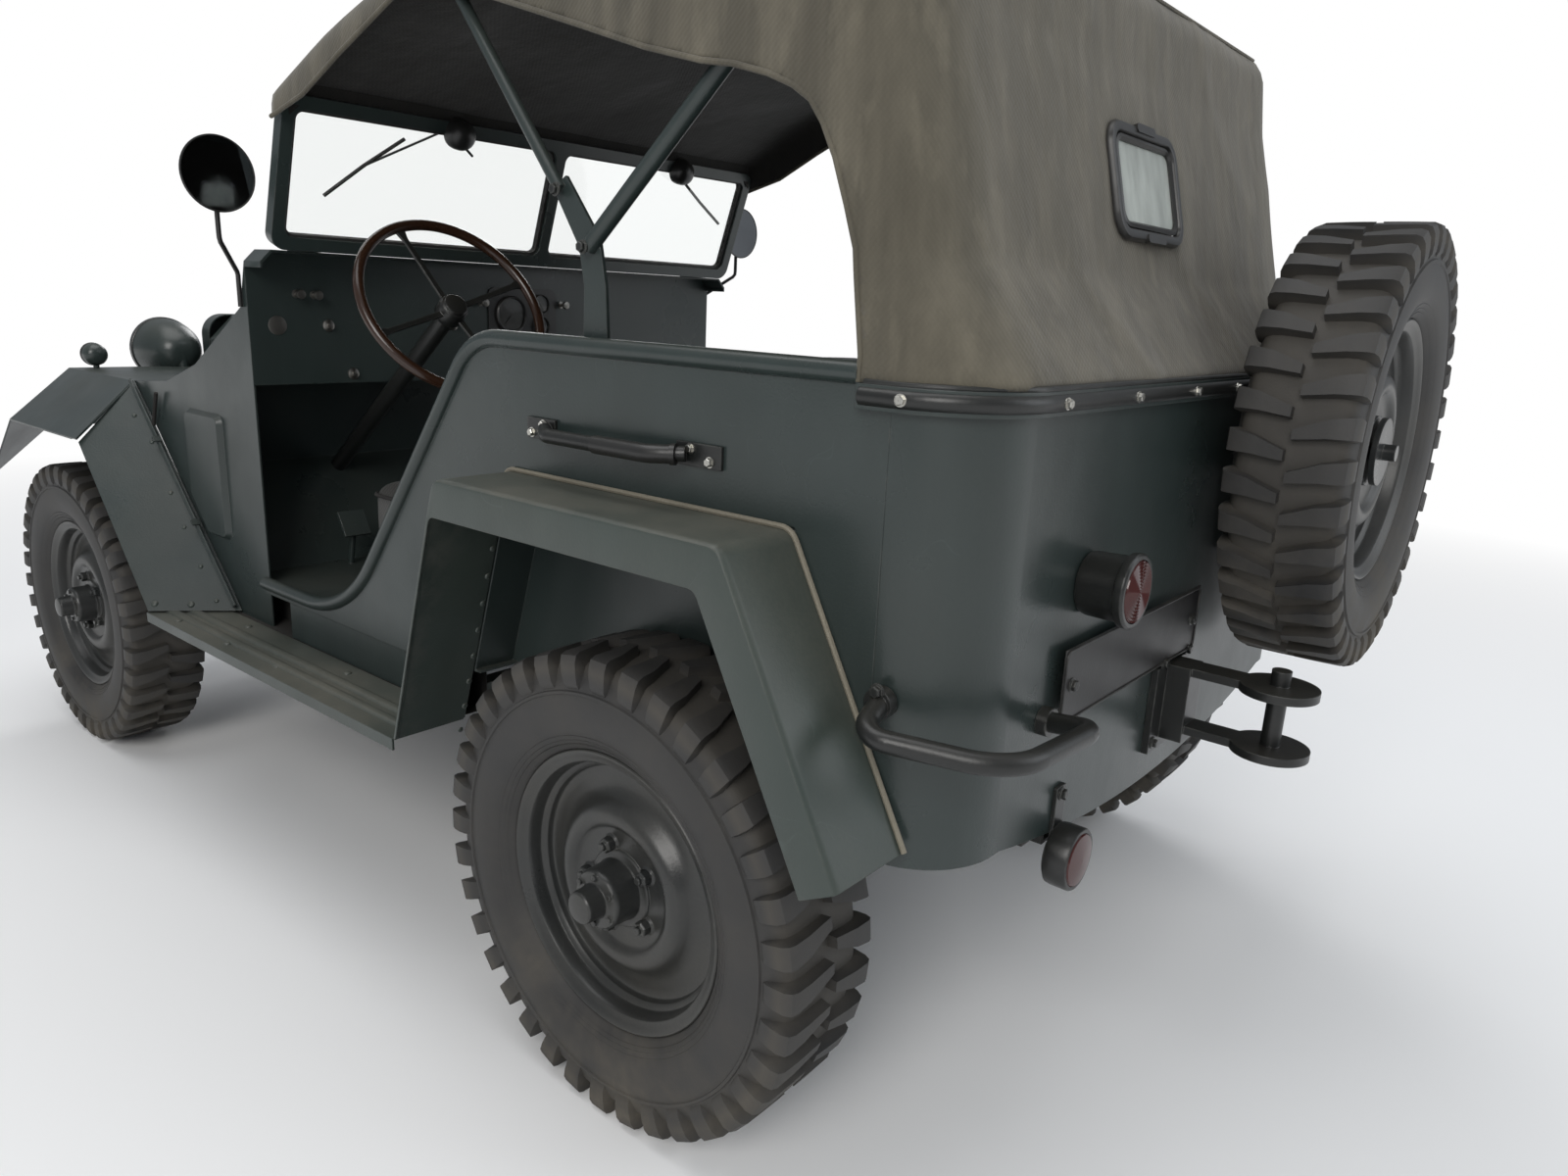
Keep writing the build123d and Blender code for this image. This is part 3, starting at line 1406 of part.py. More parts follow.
# Mirrors on thin stalks from the cowl's corners
mirror_radius = 71.0
mirror_y = cowl_y + 67
with BuildPart() as mirrors:
    for side in (1, -1):
        rod((fore(-940), side * mirror_y, 1430), (fore(-924), side * mirror_y, 1430), mirror_radius)
        bent_tube(
            [
                (fore(-850), side * (cowl_y + 5.3), 1180),
                (fore(-850), side * (cowl_y + 5.3), 1250),
                (fore(-919), side * mirror_y, 1310),
                (fore(-919), side * mirror_y, 1430),
            ],
            [10, 30],
            5,
        )
save(mirrors, "mirrors")
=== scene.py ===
# %% [markdown]
# # A light army 4x4 car with a canvas top
#
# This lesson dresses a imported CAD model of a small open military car. The CAD part already has the
# right sizes: panels, frame, axles, tubes and joints. Blender's job is the part that CAD is bad at:
# tyres with a real tread, pressed steel wheels with a soft curvature, a sagging canvas, padded seats,
# bolts, and above all materials. Everything is in metres, +X is forward, +Y is the car's left and +Z is up.

# %% Load the frame
from math import atan2, cos, hypot, pi, radians, sin, sqrt

import bmesh
import bpy
from mathutils import Matrix, Vector, noise


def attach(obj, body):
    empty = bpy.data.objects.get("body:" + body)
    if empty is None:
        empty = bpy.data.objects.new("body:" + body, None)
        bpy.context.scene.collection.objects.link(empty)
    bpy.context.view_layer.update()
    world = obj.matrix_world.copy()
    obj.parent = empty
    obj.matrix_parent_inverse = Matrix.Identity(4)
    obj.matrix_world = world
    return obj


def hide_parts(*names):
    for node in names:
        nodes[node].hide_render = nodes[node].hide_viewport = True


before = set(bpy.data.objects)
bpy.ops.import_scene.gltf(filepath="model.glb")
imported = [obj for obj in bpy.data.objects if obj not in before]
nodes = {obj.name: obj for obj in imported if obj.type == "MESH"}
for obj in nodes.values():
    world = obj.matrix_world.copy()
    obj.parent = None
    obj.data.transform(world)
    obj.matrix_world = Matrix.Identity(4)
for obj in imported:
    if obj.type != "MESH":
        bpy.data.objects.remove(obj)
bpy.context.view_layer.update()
scene = bpy.context.scene

# %% [markdown]
# ## Driving sizes
#
# A few stations of the car are used again and again. The rear axle is the natural zero of a car's
# length, so `ahead` turns a distance in front of the rear axle into the frame's X.

# %% Sizes
REAR_AXLE_X = -0.925
WHEEL_BASE = 2.100
HALF_TRACK = 0.723
AXLE_Z = 0.375
TYRE_RADIUS = 0.375
SPARE_PLACE = Vector((REAR_AXLE_X - 0.653, -0.327, 1.038))


def ahead(distance):
    """X of a point that is distance metres in front of the rear axle."""
    return REAR_AXLE_X + distance


print("front axle at x =", ahead(WHEEL_BASE))

# %% [markdown]
# ## Camera
#
# The photograph is taken from behind the left rear wheel with a wide lens, a little above the tub's
# edge and looking down. Place, direction and focal length come from fitting a pinhole camera to the
# car's known sizes. Blender's camera looks along its own -Z, so the axes are written as a matrix.

# %% Camera
CAMERA_PLACE = Vector((REAR_AXLE_X - 1.0853, 1.7527, 1.2429))
CAMERA_YAW, CAMERA_PITCH, CAMERA_ROLL = radians(-51.14), radians(-14.97), radians(2.66)
FOCAL_PIXELS = 1095.6
IMAGE_WIDTH = 1600
SENSOR_MM = 36.0

level_share = cos(CAMERA_PITCH)
look = Vector((level_share * cos(CAMERA_YAW), level_share * sin(CAMERA_YAW), sin(CAMERA_PITCH)))
level = Vector((sin(CAMERA_YAW), -cos(CAMERA_YAW), 0))
upright = level.cross(look)
right = cos(CAMERA_ROLL) * level + sin(CAMERA_ROLL) * upright
top = -sin(CAMERA_ROLL) * level + cos(CAMERA_ROLL) * upright
camera_data = bpy.data.cameras.new("camera")
camera_data.sensor_width = SENSOR_MM
camera_data.lens = SENSOR_MM * FOCAL_PIXELS / IMAGE_WIDTH
camera_data.clip_end = 60
camera = bpy.data.objects.new("camera", camera_data)
camera.matrix_world = Matrix.Translation(CAMERA_PLACE) @ Matrix((right, top, -look)).transposed().to_4x4()
scene.collection.objects.link(camera)
scene.camera = camera
print("lens", round(camera_data.lens, 2), "mm")

# %% [markdown]
# ## Shader nodes in one line
#
# Materials are made of many nodes. `feed` fills or links a node's inputs, `add_node` adds a node and
# feeds it, and the helpers after them stand for the few nodes that nearly every finish needs: sums,
# remapped values, mixed colours, masks of noise, placed groups and bumps.


# %% Node helpers
def feed(tree, node, inputs):
    """Fill a node's inputs: a socket is linked, and a colour of three numbers gets its alpha."""
    for label, value in inputs.items():
        socket = node.inputs[label]
        if isinstance(value, bpy.types.NodeSocket):
            tree.links.new(value, socket)
        elif socket.type == "RGBA":
            socket.default_value = (*value, 1.0)[:4]
        else:
            socket.default_value = value


def add_node(tree, kind, inputs=None, **settings):
    """Add a shader node, set its properties and fill its inputs."""
    node = tree.nodes.new(kind)
    for label, value in settings.items():
        setattr(node, label, value)
    feed(tree, node, inputs or {})
    return node


def new_group(name, inputs, outputs):
    """A node group; inputs are (label, kind, value) and outputs are (label, kind)."""
    tree = bpy.data.node_groups.new(name, "ShaderNodeTree")
    for label, kind, value in inputs:
        socket = tree.interface.new_socket(label, in_out="INPUT", socket_type="NodeSocket" + kind)
        socket.default_value = value
    for label, kind in outputs:
        tree.interface.new_socket(label, in_out="OUTPUT", socket_type="NodeSocket" + kind)
    return tree, tree.nodes.new("NodeGroupInput").outputs, tree.nodes.new("NodeGroupOutput").inputs


def maths(tree, operation, first, second=0.0, clamp=False):
    """A math node's result."""
    node = add_node(tree, "ShaderNodeMath", {0: first, 1: second}, operation=operation, use_clamp=clamp)
    return node.outputs[0]


def vector_maths(tree, operation, first, second=None, scale=None):
    """A vector math node's outputs."""
    given = {0: first, 1: second, "Scale": scale}
    given = {label: value for label, value in given.items() if value is not None}
    return add_node(tree, "ShaderNodeVectorMath", given, operation=operation).outputs


def remap(tree, value, low, high, to_low=0.0, to_high=1.0):
    """Value spread from low..high to to_low..to_high, clamped."""
    inputs = {"Value": value, "From Min": low, "From Max": high, "To Min": to_low, "To Max": to_high}
    return add_node(tree, "ShaderNodeMapRange", inputs).outputs[0]


def mixed(tree, share, first, second):
    """Two colours mixed by share."""
    node = add_node(tree, "ShaderNodeMix", data_type="RGBA")
    feed(tree, node, {0: share, 6: first, 7: second})
    return node.outputs[2]


def object_place(tree):
    """The place on the piece, which moves with it."""
    return add_node(tree, "ShaderNodeTexCoord").outputs["Object"]


def noise_mask(tree, scale, low, high, stretch=(1, 1, 1), detail=4.0):
    """A noise pattern fixed to the piece, turned into a mask."""
    mapping = add_node(tree, "ShaderNodeMapping", {"Vector": object_place(tree), "Scale": stretch})
    inputs = {"Vector": mapping.outputs[0], "Scale": scale, "Detail": detail, "Roughness": 0.6}
    return remap(tree, add_node(tree, "ShaderNodeTexNoise", inputs).outputs["Fac"], low, high)


def placed_group(tree, group, values):
    """A node group placed in a material with its own values; gives its first output."""
    return add_node(tree, "ShaderNodeGroup", values, node_tree=group).outputs[0]


def bumped(tree, height, strength, distance, normal=None):
    """The normal of a bump."""
    inputs = {"Height": height, "Strength": strength, "Distance": distance}
    if normal is not None:
        inputs["Normal"] = normal
    return add_node(tree, "ShaderNodeBump", inputs).outputs[0]


print("node helpers ready")

# %% [markdown]
# ## Dust, edge wear and scratches as node groups
#
# Dust lies where nothing wipes it off: on faces that look upward, in patches. Wear is the opposite:
# paint goes first at edges. Blender's Bevel node gives the normal of a rounded copy of the surface;
# where that normal differs from the real one there is an edge. Both are groups, because nearly every
# material on the car uses them.

# %% Weathering groups
tree, given, result = new_group(
    "dust",
    [("Amount", "Float", 0.5), ("Lying", "Float", 0.7), ("Scale", "Float", 4.0)],
    [("Mask", "Float")],
)
normal = add_node(tree, "ShaderNodeTexCoord").outputs["Normal"]
upward = add_node(tree, "ShaderNodeSeparateXYZ", {"Vector": normal}).outputs["Z"]
upward = maths(tree, "POWER", remap(tree, upward, 0.0, 1.0), 1.6)
lying = maths(tree, "MULTIPLY", upward, given["Lying"])
everywhere = maths(tree, "SUBTRACT", 1.0, given["Lying"])
cover = maths(tree, "ADD", lying, maths(tree, "MULTIPLY", everywhere, 0.6))
place = object_place(tree)
patches = add_node(tree, "ShaderNodeTexNoise", {"Vector": place, "Scale": given["Scale"], "Detail": 6.0})
grains = add_node(tree, "ShaderNodeTexNoise", {"Vector": place, "Scale": 180.0, "Detail": 2.0})
patchy = remap(tree, patches.outputs["Fac"], 0.30, 0.72, 0.15, 1.0)
grainy = remap(tree, grains.outputs["Fac"], 0.35, 0.65, 0.75, 1.0)
dusty = maths(tree, "MULTIPLY", maths(tree, "MULTIPLY", cover, patchy), grainy)
tree.links.new(maths(tree, "MULTIPLY", dusty, given["Amount"], clamp=True), result["Mask"])
dust_group = tree

tree, given, result = new_group(
    "edge wear", [("Amount", "Float", 0.5), ("Radius", "Float", 0.004)], [("Mask", "Float")]
)
rounded = add_node(tree, "ShaderNodeBevel", {"Radius": given["Radius"]}, samples=4)
true_normal = add_node(tree, "ShaderNodeNewGeometry").outputs["Normal"]
turned_away = vector_maths(tree, "DOT_PRODUCT", rounded.outputs[0], true_normal)["Value"]
edge = remap(tree, maths(tree, "SUBTRACT", 1.0, turned_away), 0.02, 0.16)
chipped = maths(tree, "MULTIPLY", edge, noise_mask(tree, 26.0, 0.42, 0.62))
tree.links.new(maths(tree, "MULTIPLY", chipped, given["Amount"], clamp=True), result["Mask"])
wear_group = tree

tree, given, result = new_group(
    "fine scratches", [("Amount", "Float", 0.3), ("Scale", "Float", 7.0)], [("Mask", "Float")]
)
place = object_place(tree)
bent = add_node(tree, "ShaderNodeTexNoise", {"Vector": place, "Scale": 3.0, "Detail": 3.0})
swerve = vector_maths(tree, "SCALE", bent.outputs["Color"], scale=0.35)[0]
inputs = {"Vector": vector_maths(tree, "ADD", place, swerve)[0], "Scale": given["Scale"]}
lines = add_node(tree, "ShaderNodeTexVoronoi", inputs, feature="DISTANCE_TO_EDGE")
thin = remap(tree, lines.outputs["Distance"], 0.0, 0.006, 1.0, 0.0)
broken = maths(tree, "MULTIPLY", thin, noise_mask(tree, 11.0, 0.50, 0.62))
tree.links.new(maths(tree, "MULTIPLY", broken, given["Amount"], clamp=True), result["Mask"])
scratch_group = tree
print("groups", [group.name for group in bpy.data.node_groups])

# %% [markdown]
# ## Painted steel
#
# The car was brush- and spray-painted a dark grey-green that has gone half matt. One function makes
# every painted finish: the colour drifts a little over a metre, runs and wipes make the gloss uneven,
# an orange-peel bump breaks the reflections, dust settles on top, and edges show a worn, lighter line.

# %% Painted finishes
DUST_COLOUR = (0.190, 0.172, 0.135)
WORN_COLOUR = (0.085, 0.088, 0.080)
SCRATCH_AMOUNT = 0.35


def base_material(name):
    """A new material, its tree and its Principled shader."""
    material = bpy.data.materials.new(name)
    material.use_nodes = True
    return material, material.node_tree, material.node_tree.nodes["Principled BSDF"]


def scaled(colour, factor):
    """A darker or lighter colour."""
    return tuple(channel * factor for channel in colour)


def painted(name, colour, gloss, dust, lying=0.75, worn=0.5, peel=0.10):
    """Paint over steel: gloss is the roughness of clean paint, dust and worn are shares."""
    material, tree, shader = base_material(name)
    tint = mixed(tree, noise_mask(tree, 1.6, 0.3, 0.7), colour, scaled(colour, 0.72))
    streaks = noise_mask(tree, 5.0, 0.45, 0.75, stretch=(3.0, 3.0, 0.35))
    tint = mixed(tree, maths(tree, "MULTIPLY", streaks, 0.25), tint, scaled(colour, 1.35))
    tint = mixed(tree, placed_group(tree, wear_group, {"Amount": worn}), tint, WORN_COLOUR)
    scratches = placed_group(tree, scratch_group, {"Amount": SCRATCH_AMOUNT})
    tint = mixed(tree, scratches, tint, tuple(channel * 1.8 + 0.008 for channel in colour))
    dusting = placed_group(tree, dust_group, {"Amount": dust, "Lying": lying})
    tint = mixed(tree, dusting, tint, DUST_COLOUR)
    rough = remap(tree, noise_mask(tree, 3.2, 0.3, 0.7), 0.0, 1.0, gloss - 0.05, gloss + 0.10)
    rough = maths(tree, "ADD", rough, maths(tree, "MULTIPLY", dusting, 0.45), clamp=True)
    skin = noise_mask(tree, 240.0, 0.2, 0.8, detail=1.0)
    waves = noise_mask(tree, 9.0, 0.2, 0.8, detail=2.0)
    height = maths(tree, "ADD", maths(tree, "MULTIPLY", skin, 0.25), waves)
    rounded = add_node(tree, "ShaderNodeBevel", {"Radius": 0.0025}, samples=4).outputs[0]
    normal = bumped(tree, height, peel, 0.004, rounded)
    feed(tree, shader, {"Base Color": tint, "Roughness": rough, "Normal": normal})
    return material


body_paint = painted("body paint", (0.024, 0.035, 0.034), 0.28, 0.25)
fender_paint = painted("dusty fender paint", (0.034, 0.048, 0.043), 0.34, 0.62, worn=0.8)
wheel_paint = painted("wheel paint", (0.017, 0.019, 0.020), 0.28, 0.25, lying=0.4)
chassis_paint = painted("chassis paint", (0.012, 0.013, 0.013), 0.50, 0.40, lying=0.5)
iron_finish = painted("cast iron", (0.045, 0.045, 0.043), 0.60, 0.40, lying=0.5, peel=0.5)
coupling_paint = painted("coupling paint", (0.010, 0.011, 0.011), 0.32, 0.15, worn=0.8)
spring_finish = painted("spring steel", (0.022, 0.020, 0.018), 0.50, 0.45, lying=0.4, peel=0.3)
plate_paint = painted("blank plate", (0.010, 0.010, 0.011), 0.40, 0.20)
print("painted finishes ready")

# %% [markdown]
# ## Rubber, cloth, glass and bare metal
#
# The other finishes follow the same pattern with fewer layers. Rubber is never black: it is a dark
# grey that turns brown low on the sidewall. Zinc-plated bolts are bright and metallic.


# %% Other finishes
def plain(name, colour, roughness, metallic=0.0, dust=0.2, grain=0.0, grain_scale=60.0):
    """A finish of one colour with a little dust and, if asked, a grainy bump."""
    material, tree, shader = base_material(name)
    tint = mixed(tree, noise_mask(tree, 7.0, 0.3, 0.7), colour, scaled(colour, 0.75))
    tint = mixed(tree, placed_group(tree, dust_group, {"Amount": dust}), tint, DUST_COLOUR)
    uneven = noise_mask(tree, 14.0, 0.3, 0.7)
    rough = remap(tree, uneven, 0.0, 1.0, roughness - 0.05, roughness + 0.08)
    feed(tree, shader, {"Base Color": tint, "Roughness": rough, "Metallic": metallic})
    if grain:
        grains = noise_mask(tree, grain_scale, 0.3, 0.7)
        feed(tree, shader, {"Normal": bumped(tree, grains, grain, 0.002)})
    return material


def rubber_material():
    """Tyre rubber: browner low on the sidewall, with dust between the lugs."""
    material, tree, shader = base_material("tyre rubber")
    place = object_place(tree)
    parts = add_node(tree, "ShaderNodeSeparateXYZ", {"Vector": place})
    low = remap(tree, parts.outputs["Y"], -0.05, -0.34)
    reach = vector_maths(tree, "MULTIPLY", place, (1, 1, 0))[0]
    radius = vector_maths(tree, "LENGTH", reach)["Value"]
    root = remap(tree, radius, 0.372, 0.350, 0.0, 1.0)
    patches = noise_mask(tree, 9.0, 0.32, 0.72)
    fine = remap(tree, noise_mask(tree, 70.0, 0.3, 0.7), 0, 1, 0.6, 1.0)
    cover = maths(tree, "ADD", maths(tree, "MULTIPLY", low, 0.75), 0.22)
    cover = maths(tree, "MULTIPLY", maths(tree, "MULTIPLY", cover, patches), fine)
    gaps = maths(tree, "MULTIPLY", root, remap(tree, radius, 0.335, 0.352))
    cover = maths(tree, "ADD", cover, maths(tree, "MULTIPLY", gaps, 0.35), clamp=True)
    tint = mixed(tree, noise_mask(tree, 4.0, 0.3, 0.7), (0.017, 0.017, 0.0175), (0.028, 0.0275, 0.0270))
    tint = mixed(tree, cover, tint, (0.100, 0.089, 0.072))
    rough = remap(tree, cover, 0.0, 0.8, 0.58, 0.92)
    grains = add_node(tree, "ShaderNodeTexNoise", {"Vector": place, "Scale": 320.0, "Detail": 3.0})
    normal = bumped(tree, grains.outputs["Fac"], 0.25, 0.001)
    feed(tree, shader, {"Base Color": tint, "Roughness": rough, "Normal": normal})
    return material


def glass_material(name, colour, roughness=0.03):
    """Clear glass whose surface is uneven enough to look used."""
    material, tree, shader = base_material(name)
    uneven = noise_mask(tree, 6.0, 0.35, 0.7)
    rough = remap(tree, uneven, 0.0, 1.0, roughness, roughness + 0.08)
    feed(tree, shader, {"Base Color": colour, "Transmission Weight": 1.0, "IOR": 1.45, "Roughness": rough})
    return material


rubber = rubber_material()
zinc = plain("zinc-plated steel", (0.55, 0.54, 0.50), 0.30, metallic=1.0, dust=0.15)
chrome = plain("polished metal", (0.70, 0.70, 0.70), 0.10, metallic=1.0, dust=0.05)
bare_steel = plain("worn bare steel", (0.30, 0.29, 0.27), 0.38, metallic=1.0, dust=0.15)
black_rubber = plain("black rubber trim", (0.020, 0.020, 0.020), 0.62, dust=0.35)
black_plastic = plain("black plastic", (0.015, 0.015, 0.015), 0.35, dust=0.15)
brown_bakelite = plain("dark brown wheel rim", (0.030, 0.013, 0.007), 0.20, dust=0.05)
# Dark cloth for the seat piping; the same near black is painted shade in a slot and under the sills.
dark_cloth_and_painted_shade = plain("dark interior cloth", (0.012, 0.011, 0.010), 0.92, dust=0.1)
beige_piping = plain("beige piping", (0.21, 0.19, 0.145), 0.62, dust=0.3, grain=0.4, grain_scale=300.0)
red_lens = plain("red lens", (0.052, 0.007, 0.006), 0.14, dust=0.12)
clear_glass = glass_material("clear glass", (0.95, 0.97, 0.96))
mirror_glass = plain("mirror glass", (0.30, 0.31, 0.32), 0.06, metallic=1.0, dust=0.05)
print("materials", len(bpy.data.materials))

# %% [markdown]
# ## Cloth
#
# Canvas and seat cloth share a weave: two wave patterns at right angles, one for each thread
# direction, give a height that Blender turns into a bump. The canvas has faded in vertical streaks
# and has dark stains in patches. Inside it is nearly black, which is painted shade.

# %% Cloth finishes
tree, given, result = new_group("weave", [("Threads", "Float", 700.0)], [("Height", "Float")])
spread = vector_maths(tree, "SCALE", object_place(tree), scale=given["Threads"])[0]
axes = add_node(tree, "ShaderNodeSeparateXYZ", {"Vector": spread})
across = maths(tree, "SINE", maths(tree, "ADD", axes.outputs["X"], axes.outputs["Y"]))
along = maths(tree, "SINE", axes.outputs["Z"])
tree.links.new(maths(tree, "MULTIPLY", across, along), result["Height"])
weave_group = tree


def canvas_material(name, colour, faded, streak=0.6, roughness=0.88):
    """Olive-brown canvas: streaked from top to bottom, stained, woven."""
    material, tree, shader = base_material(name)
    tint = mixed(tree, noise_mask(tree, 1.8, 0.3, 0.7), colour, scaled(colour, 0.78))
    streaks = noise_mask(tree, 6.0, 0.42, 0.72, stretch=(2.6, 2.6, 0.22))
    tint = mixed(tree, maths(tree, "MULTIPLY", streaks, streak), tint, faded)
    rubbed = noise_mask(tree, 17.0, 0.55, 0.75, stretch=(1.5, 1.5, 0.5))
    tint = mixed(tree, maths(tree, "MULTIPLY", rubbed, 0.35), tint, scaled(faded, 1.25))
    stains = noise_mask(tree, 2.6, 0.58, 0.80)
    tint = mixed(tree, maths(tree, "MULTIPLY", stains, 0.5), tint, scaled(colour, 0.35))
    threads = maths(tree, "MULTIPLY", placed_group(tree, weave_group, {}), 0.05)
    creases = noise_mask(tree, 7.0, 0.2, 0.8, stretch=(1.2, 1.2, 0.7), detail=5.0)
    normal = bumped(tree, maths(tree, "ADD", threads, creases), 0.45, 0.008)
    feed(tree, shader, {"Base Color": tint, "Roughness": roughness, "Sheen Weight": 0.15, "Normal": normal})
    return material


canvas_outside = canvas_material("canvas outside", (0.074, 0.066, 0.047), (0.135, 0.120, 0.088))
# The inside is the same cloth made nearly black: painted shade.
canvas_inside_painted_shade = canvas_material("canvas inside", (0.012, 0.011, 0.009), (0.018, 0.016, 0.013), 0.2)
seat_cloth = canvas_material("seat cloth", (0.022, 0.021, 0.018), (0.034, 0.032, 0.027), 0.4, 0.42)
print("cloth ready")

# %% [markdown]
# ## Give every CAD node its finish
#
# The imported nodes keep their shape; only their material changes. The table below names a finish for
# each node, and everything that isn't named gets body paint.

# %% Finishes of the CAD nodes
finish_of = {
    chassis_paint: ["chassis_frame", "rear_axle", "front_axle", "knuckle_left", "knuckle_right", "tie_rod"],
    spring_finish: ["leaf_springs"],
    iron_finish: ["engine", "gearbox", "radiator"],
    wheel_paint: ["spare_carrier"],
    fender_paint: ["rear_fenders", "running_boards"],
    coupling_paint: ["tow_coupling", "grab_handles", "steering_column", "front_bumper"],
    plate_paint: ["number_plate"],
    dark_cloth_and_painted_shade: ["seats"],
    black_plastic: ["mirrors"],
    clear_glass: ["windshield_glass"],
    brown_bakelite: ["steering_wheel"],
}
finish_by_node = {name: material for material, names in finish_of.items() for name in names}
for name, node in nodes.items():
    node.data.materials.clear()
    if name.startswith("tyre_"):
        node.data.materials.append(rubber)
    elif name.startswith("wheel_"):
        node.data.materials.append(wheel_paint)
    else:
        node.data.materials.append(finish_by_node.get(name, body_paint))
print("finishes on", len(nodes), "nodes")

# %% [markdown]
# ## Mesh helpers
#
# A shape is a pair of points and faces. Three builders cover most of the detail: `turned` for anything
# made on a lathe, `sweep` for tubes and cords along a path, and `hex_bolt`. `new_piece` turns a shape
# into an object with smooth shading that stays crisp at edges sharper than 35 degrees.


# %% Mesh helpers
def new_piece(name, points, faces, material, smooth=35.0):
    """An object from points and faces."""
    mesh = bpy.data.meshes.new(name)
    mesh.from_pydata([tuple(point) for point in points], [], faces)
    mesh.validate()
    mesh.materials.append(material)
    mesh.shade_smooth()
    mesh.set_sharp_from_angle(angle=radians(smooth))
    piece = bpy.data.objects.new(name, mesh)
    scene.collection.objects.link(piece)
    return piece


def modifier(piece, kind, **settings):
    """Add a modifier and set its properties."""
    added = piece.modifiers.new(kind.title(), kind)
    for label, value in settings.items():
        setattr(added, label, value)
    return added


print("mesh helpers ready")

# %% [markdown]
# Now the shapes themselves. Profiles are written in millimetres, because that is how a turned or
# pressed part is drawn. A shape is built about the origin and then moved to its place by a matrix.


# %% Shapes
def in_metres(rows):
    """A table that is written in millimetres."""
    return [tuple(value / 1000 for value in row) for row in rows]


def ring_faces(rings, count, closed=True):
    """Quads between rings of count points that follow each other."""
    faces = []
    for ring in range(rings - 1):
        for index in range(count if closed else count - 1):
            after = (index + 1) % count
            lower, upper = ring * count, (ring + 1) * count
            faces.append((lower + index, lower + after, upper + after, upper + index))
    return faces


def lathe(profile, segments, start=0.0):
    """Points and faces of a turning about local Z; profile is a list of (radius, height)."""
    points = []
    for radius, height in profile:
        for index in range(segments):
            turn = start + 2 * pi * index / segments
            points.append(Vector((radius * cos(turn), radius * sin(turn), height)))
    return points, ring_faces(len(profile), segments)


def axes_at(place, *axes):
    """A matrix from its three axes, standing at place."""
    return Matrix.Translation(place) @ Matrix(axes).transposed().to_4x4()


def stand(place, outward):
    """A wheel's own frame: local Z points outward and local Y points up."""
    outward, upward = Vector(outward), Vector((0, 0, 1))
    return axes_at(place, upward.cross(outward), upward, outward)


def frame_at(place, axis):
    """A matrix whose local Z is axis, standing at place."""
    axis = Vector(axis).normalized()
    side = axis.orthogonal().normalized()
    return axes_at(place, side, axis.cross(side), axis)


def placed(matrix, shape):
    """A shape, which is a pair of points and faces, moved by a matrix."""
    points, faces = shape
    return [matrix @ point for point in points], faces


def turned(place, axis, profile, segments=48):
    """A turning that stands at place and whose heights run along axis."""
    return placed(frame_at(place, axis), lathe(profile, segments))


def join_shapes(shapes):
    """One shape out of many."""
    points, faces = [], []
    for more_points, more_faces in shapes:
        shift = len(points)
        points.extend(more_points)
        faces.extend(tuple(index + shift for index in face) for face in more_faces)
    return points, faces


def hex_bolt(place, axis, across, height, turn=0.0):
    """A hexagon head with a chamfer, standing on a washer."""
    radius = across / sqrt(3)
    base, top = across * 0.10, across * 0.10 + height
    head = [(radius, base), (radius, base + height * 0.82), (radius * 0.84, top), (0.0005, top)]
    washer = [(radius * 1.28, -0.0006), (radius * 1.28, base), (radius * 0.6, base)]
    shape = join_shapes([lathe(head, 6), lathe(washer, 20)])
    return placed(frame_at(place, axis) @ Matrix.Rotation(turn, 4, "Z"), shape)


def sweep(route, radius, sides=12, closed=False):
    """A tube along a list of points."""
    route = [Vector(point) for point in route]
    points = []
    side = None
    for index, place in enumerate(route):
        before = route[index - 1] if index or closed else place
        after = route[(index + 1) % len(route)] if index < len(route) - 1 or closed else place
        run = (after - before).normalized()
        side = run.orthogonal() if side is None else side - run * side.dot(run)
        side.normalize()
        other = run.cross(side)
        for corner in range(sides):
            turn = 2 * pi * corner / sides
            points.append(place + radius * (cos(turn) * side + sin(turn) * other))
    faces = ring_faces(len(route), sides)
    if closed:
        last = (len(route) - 1) * sides
        faces += [(last + i, last + (i + 1) % sides, (i + 1) % sides, i) for i in range(sides)]
    else:
        faces += [tuple(range(sides))[::-1], tuple(len(points) - sides + i for i in range(sides))]
    return points, faces


print("helpers ready")

# %% [markdown]
# ## Tyres
#
# One tyre mesh serves all five wheels. The carcass is a turning with a rib near the shoulder and fine
# rings near the rim. Each tread bar is a loft of eight sections: it starts on the sidewall, climbs
# round the shoulder, and narrows towards the middle. Left and right bars are half a pitch apart.

# %% Tyre mesh
LUG_COUNT = 36
HALF_PROFILE = in_metres([
    (208.5, 56), (215, 59), (221.5, 60), (223.5, 66), (227, 70.5), (231, 73.8), (233, 76), (234.5, 74.8),
    (237, 77.2), (239.5, 79), (241, 78.2), (243.5, 80), (247, 82), (248.5, 81.2), (251, 83), (260, 86.2),
    (272, 88.8), (285, 89.8), (298, 89.4), (308, 88.2), (311, 88), (312.5, 90.2), (316.5, 89.8), (318, 86.6),
    (328, 84.5), (338, 81.2), (346, 77.2), (352, 71.5), (355.5, 64), (357, 50), (358, 30), (358.5, 10),
])
carcass = HALF_PROFILE + [(radius, -height) for radius, height in reversed(HALF_PROFILE)]
tyre_shapes = [lathe(carcass[::-1], 4 * LUG_COUNT)]

# Sections of a bar: height along the axle, outer and inner radius, half width, shift along the tread
BAR_SECTIONS = in_metres([
    (85.8, 320, 318, 15, 0), (90.5, 329, 322, 16.5, 0), (91.5, 344, 330, 17.2, 0), (90.5, 360, 340, 17.2, 0),
    (86, 370.5, 345, 16.8, 1), (77, 374.2, 348, 16, 2), (50, 374.8, 350, 14, 5), (24, 375, 350, 10.5, 12),
    (3.5, 375, 350, 8, 17),
])


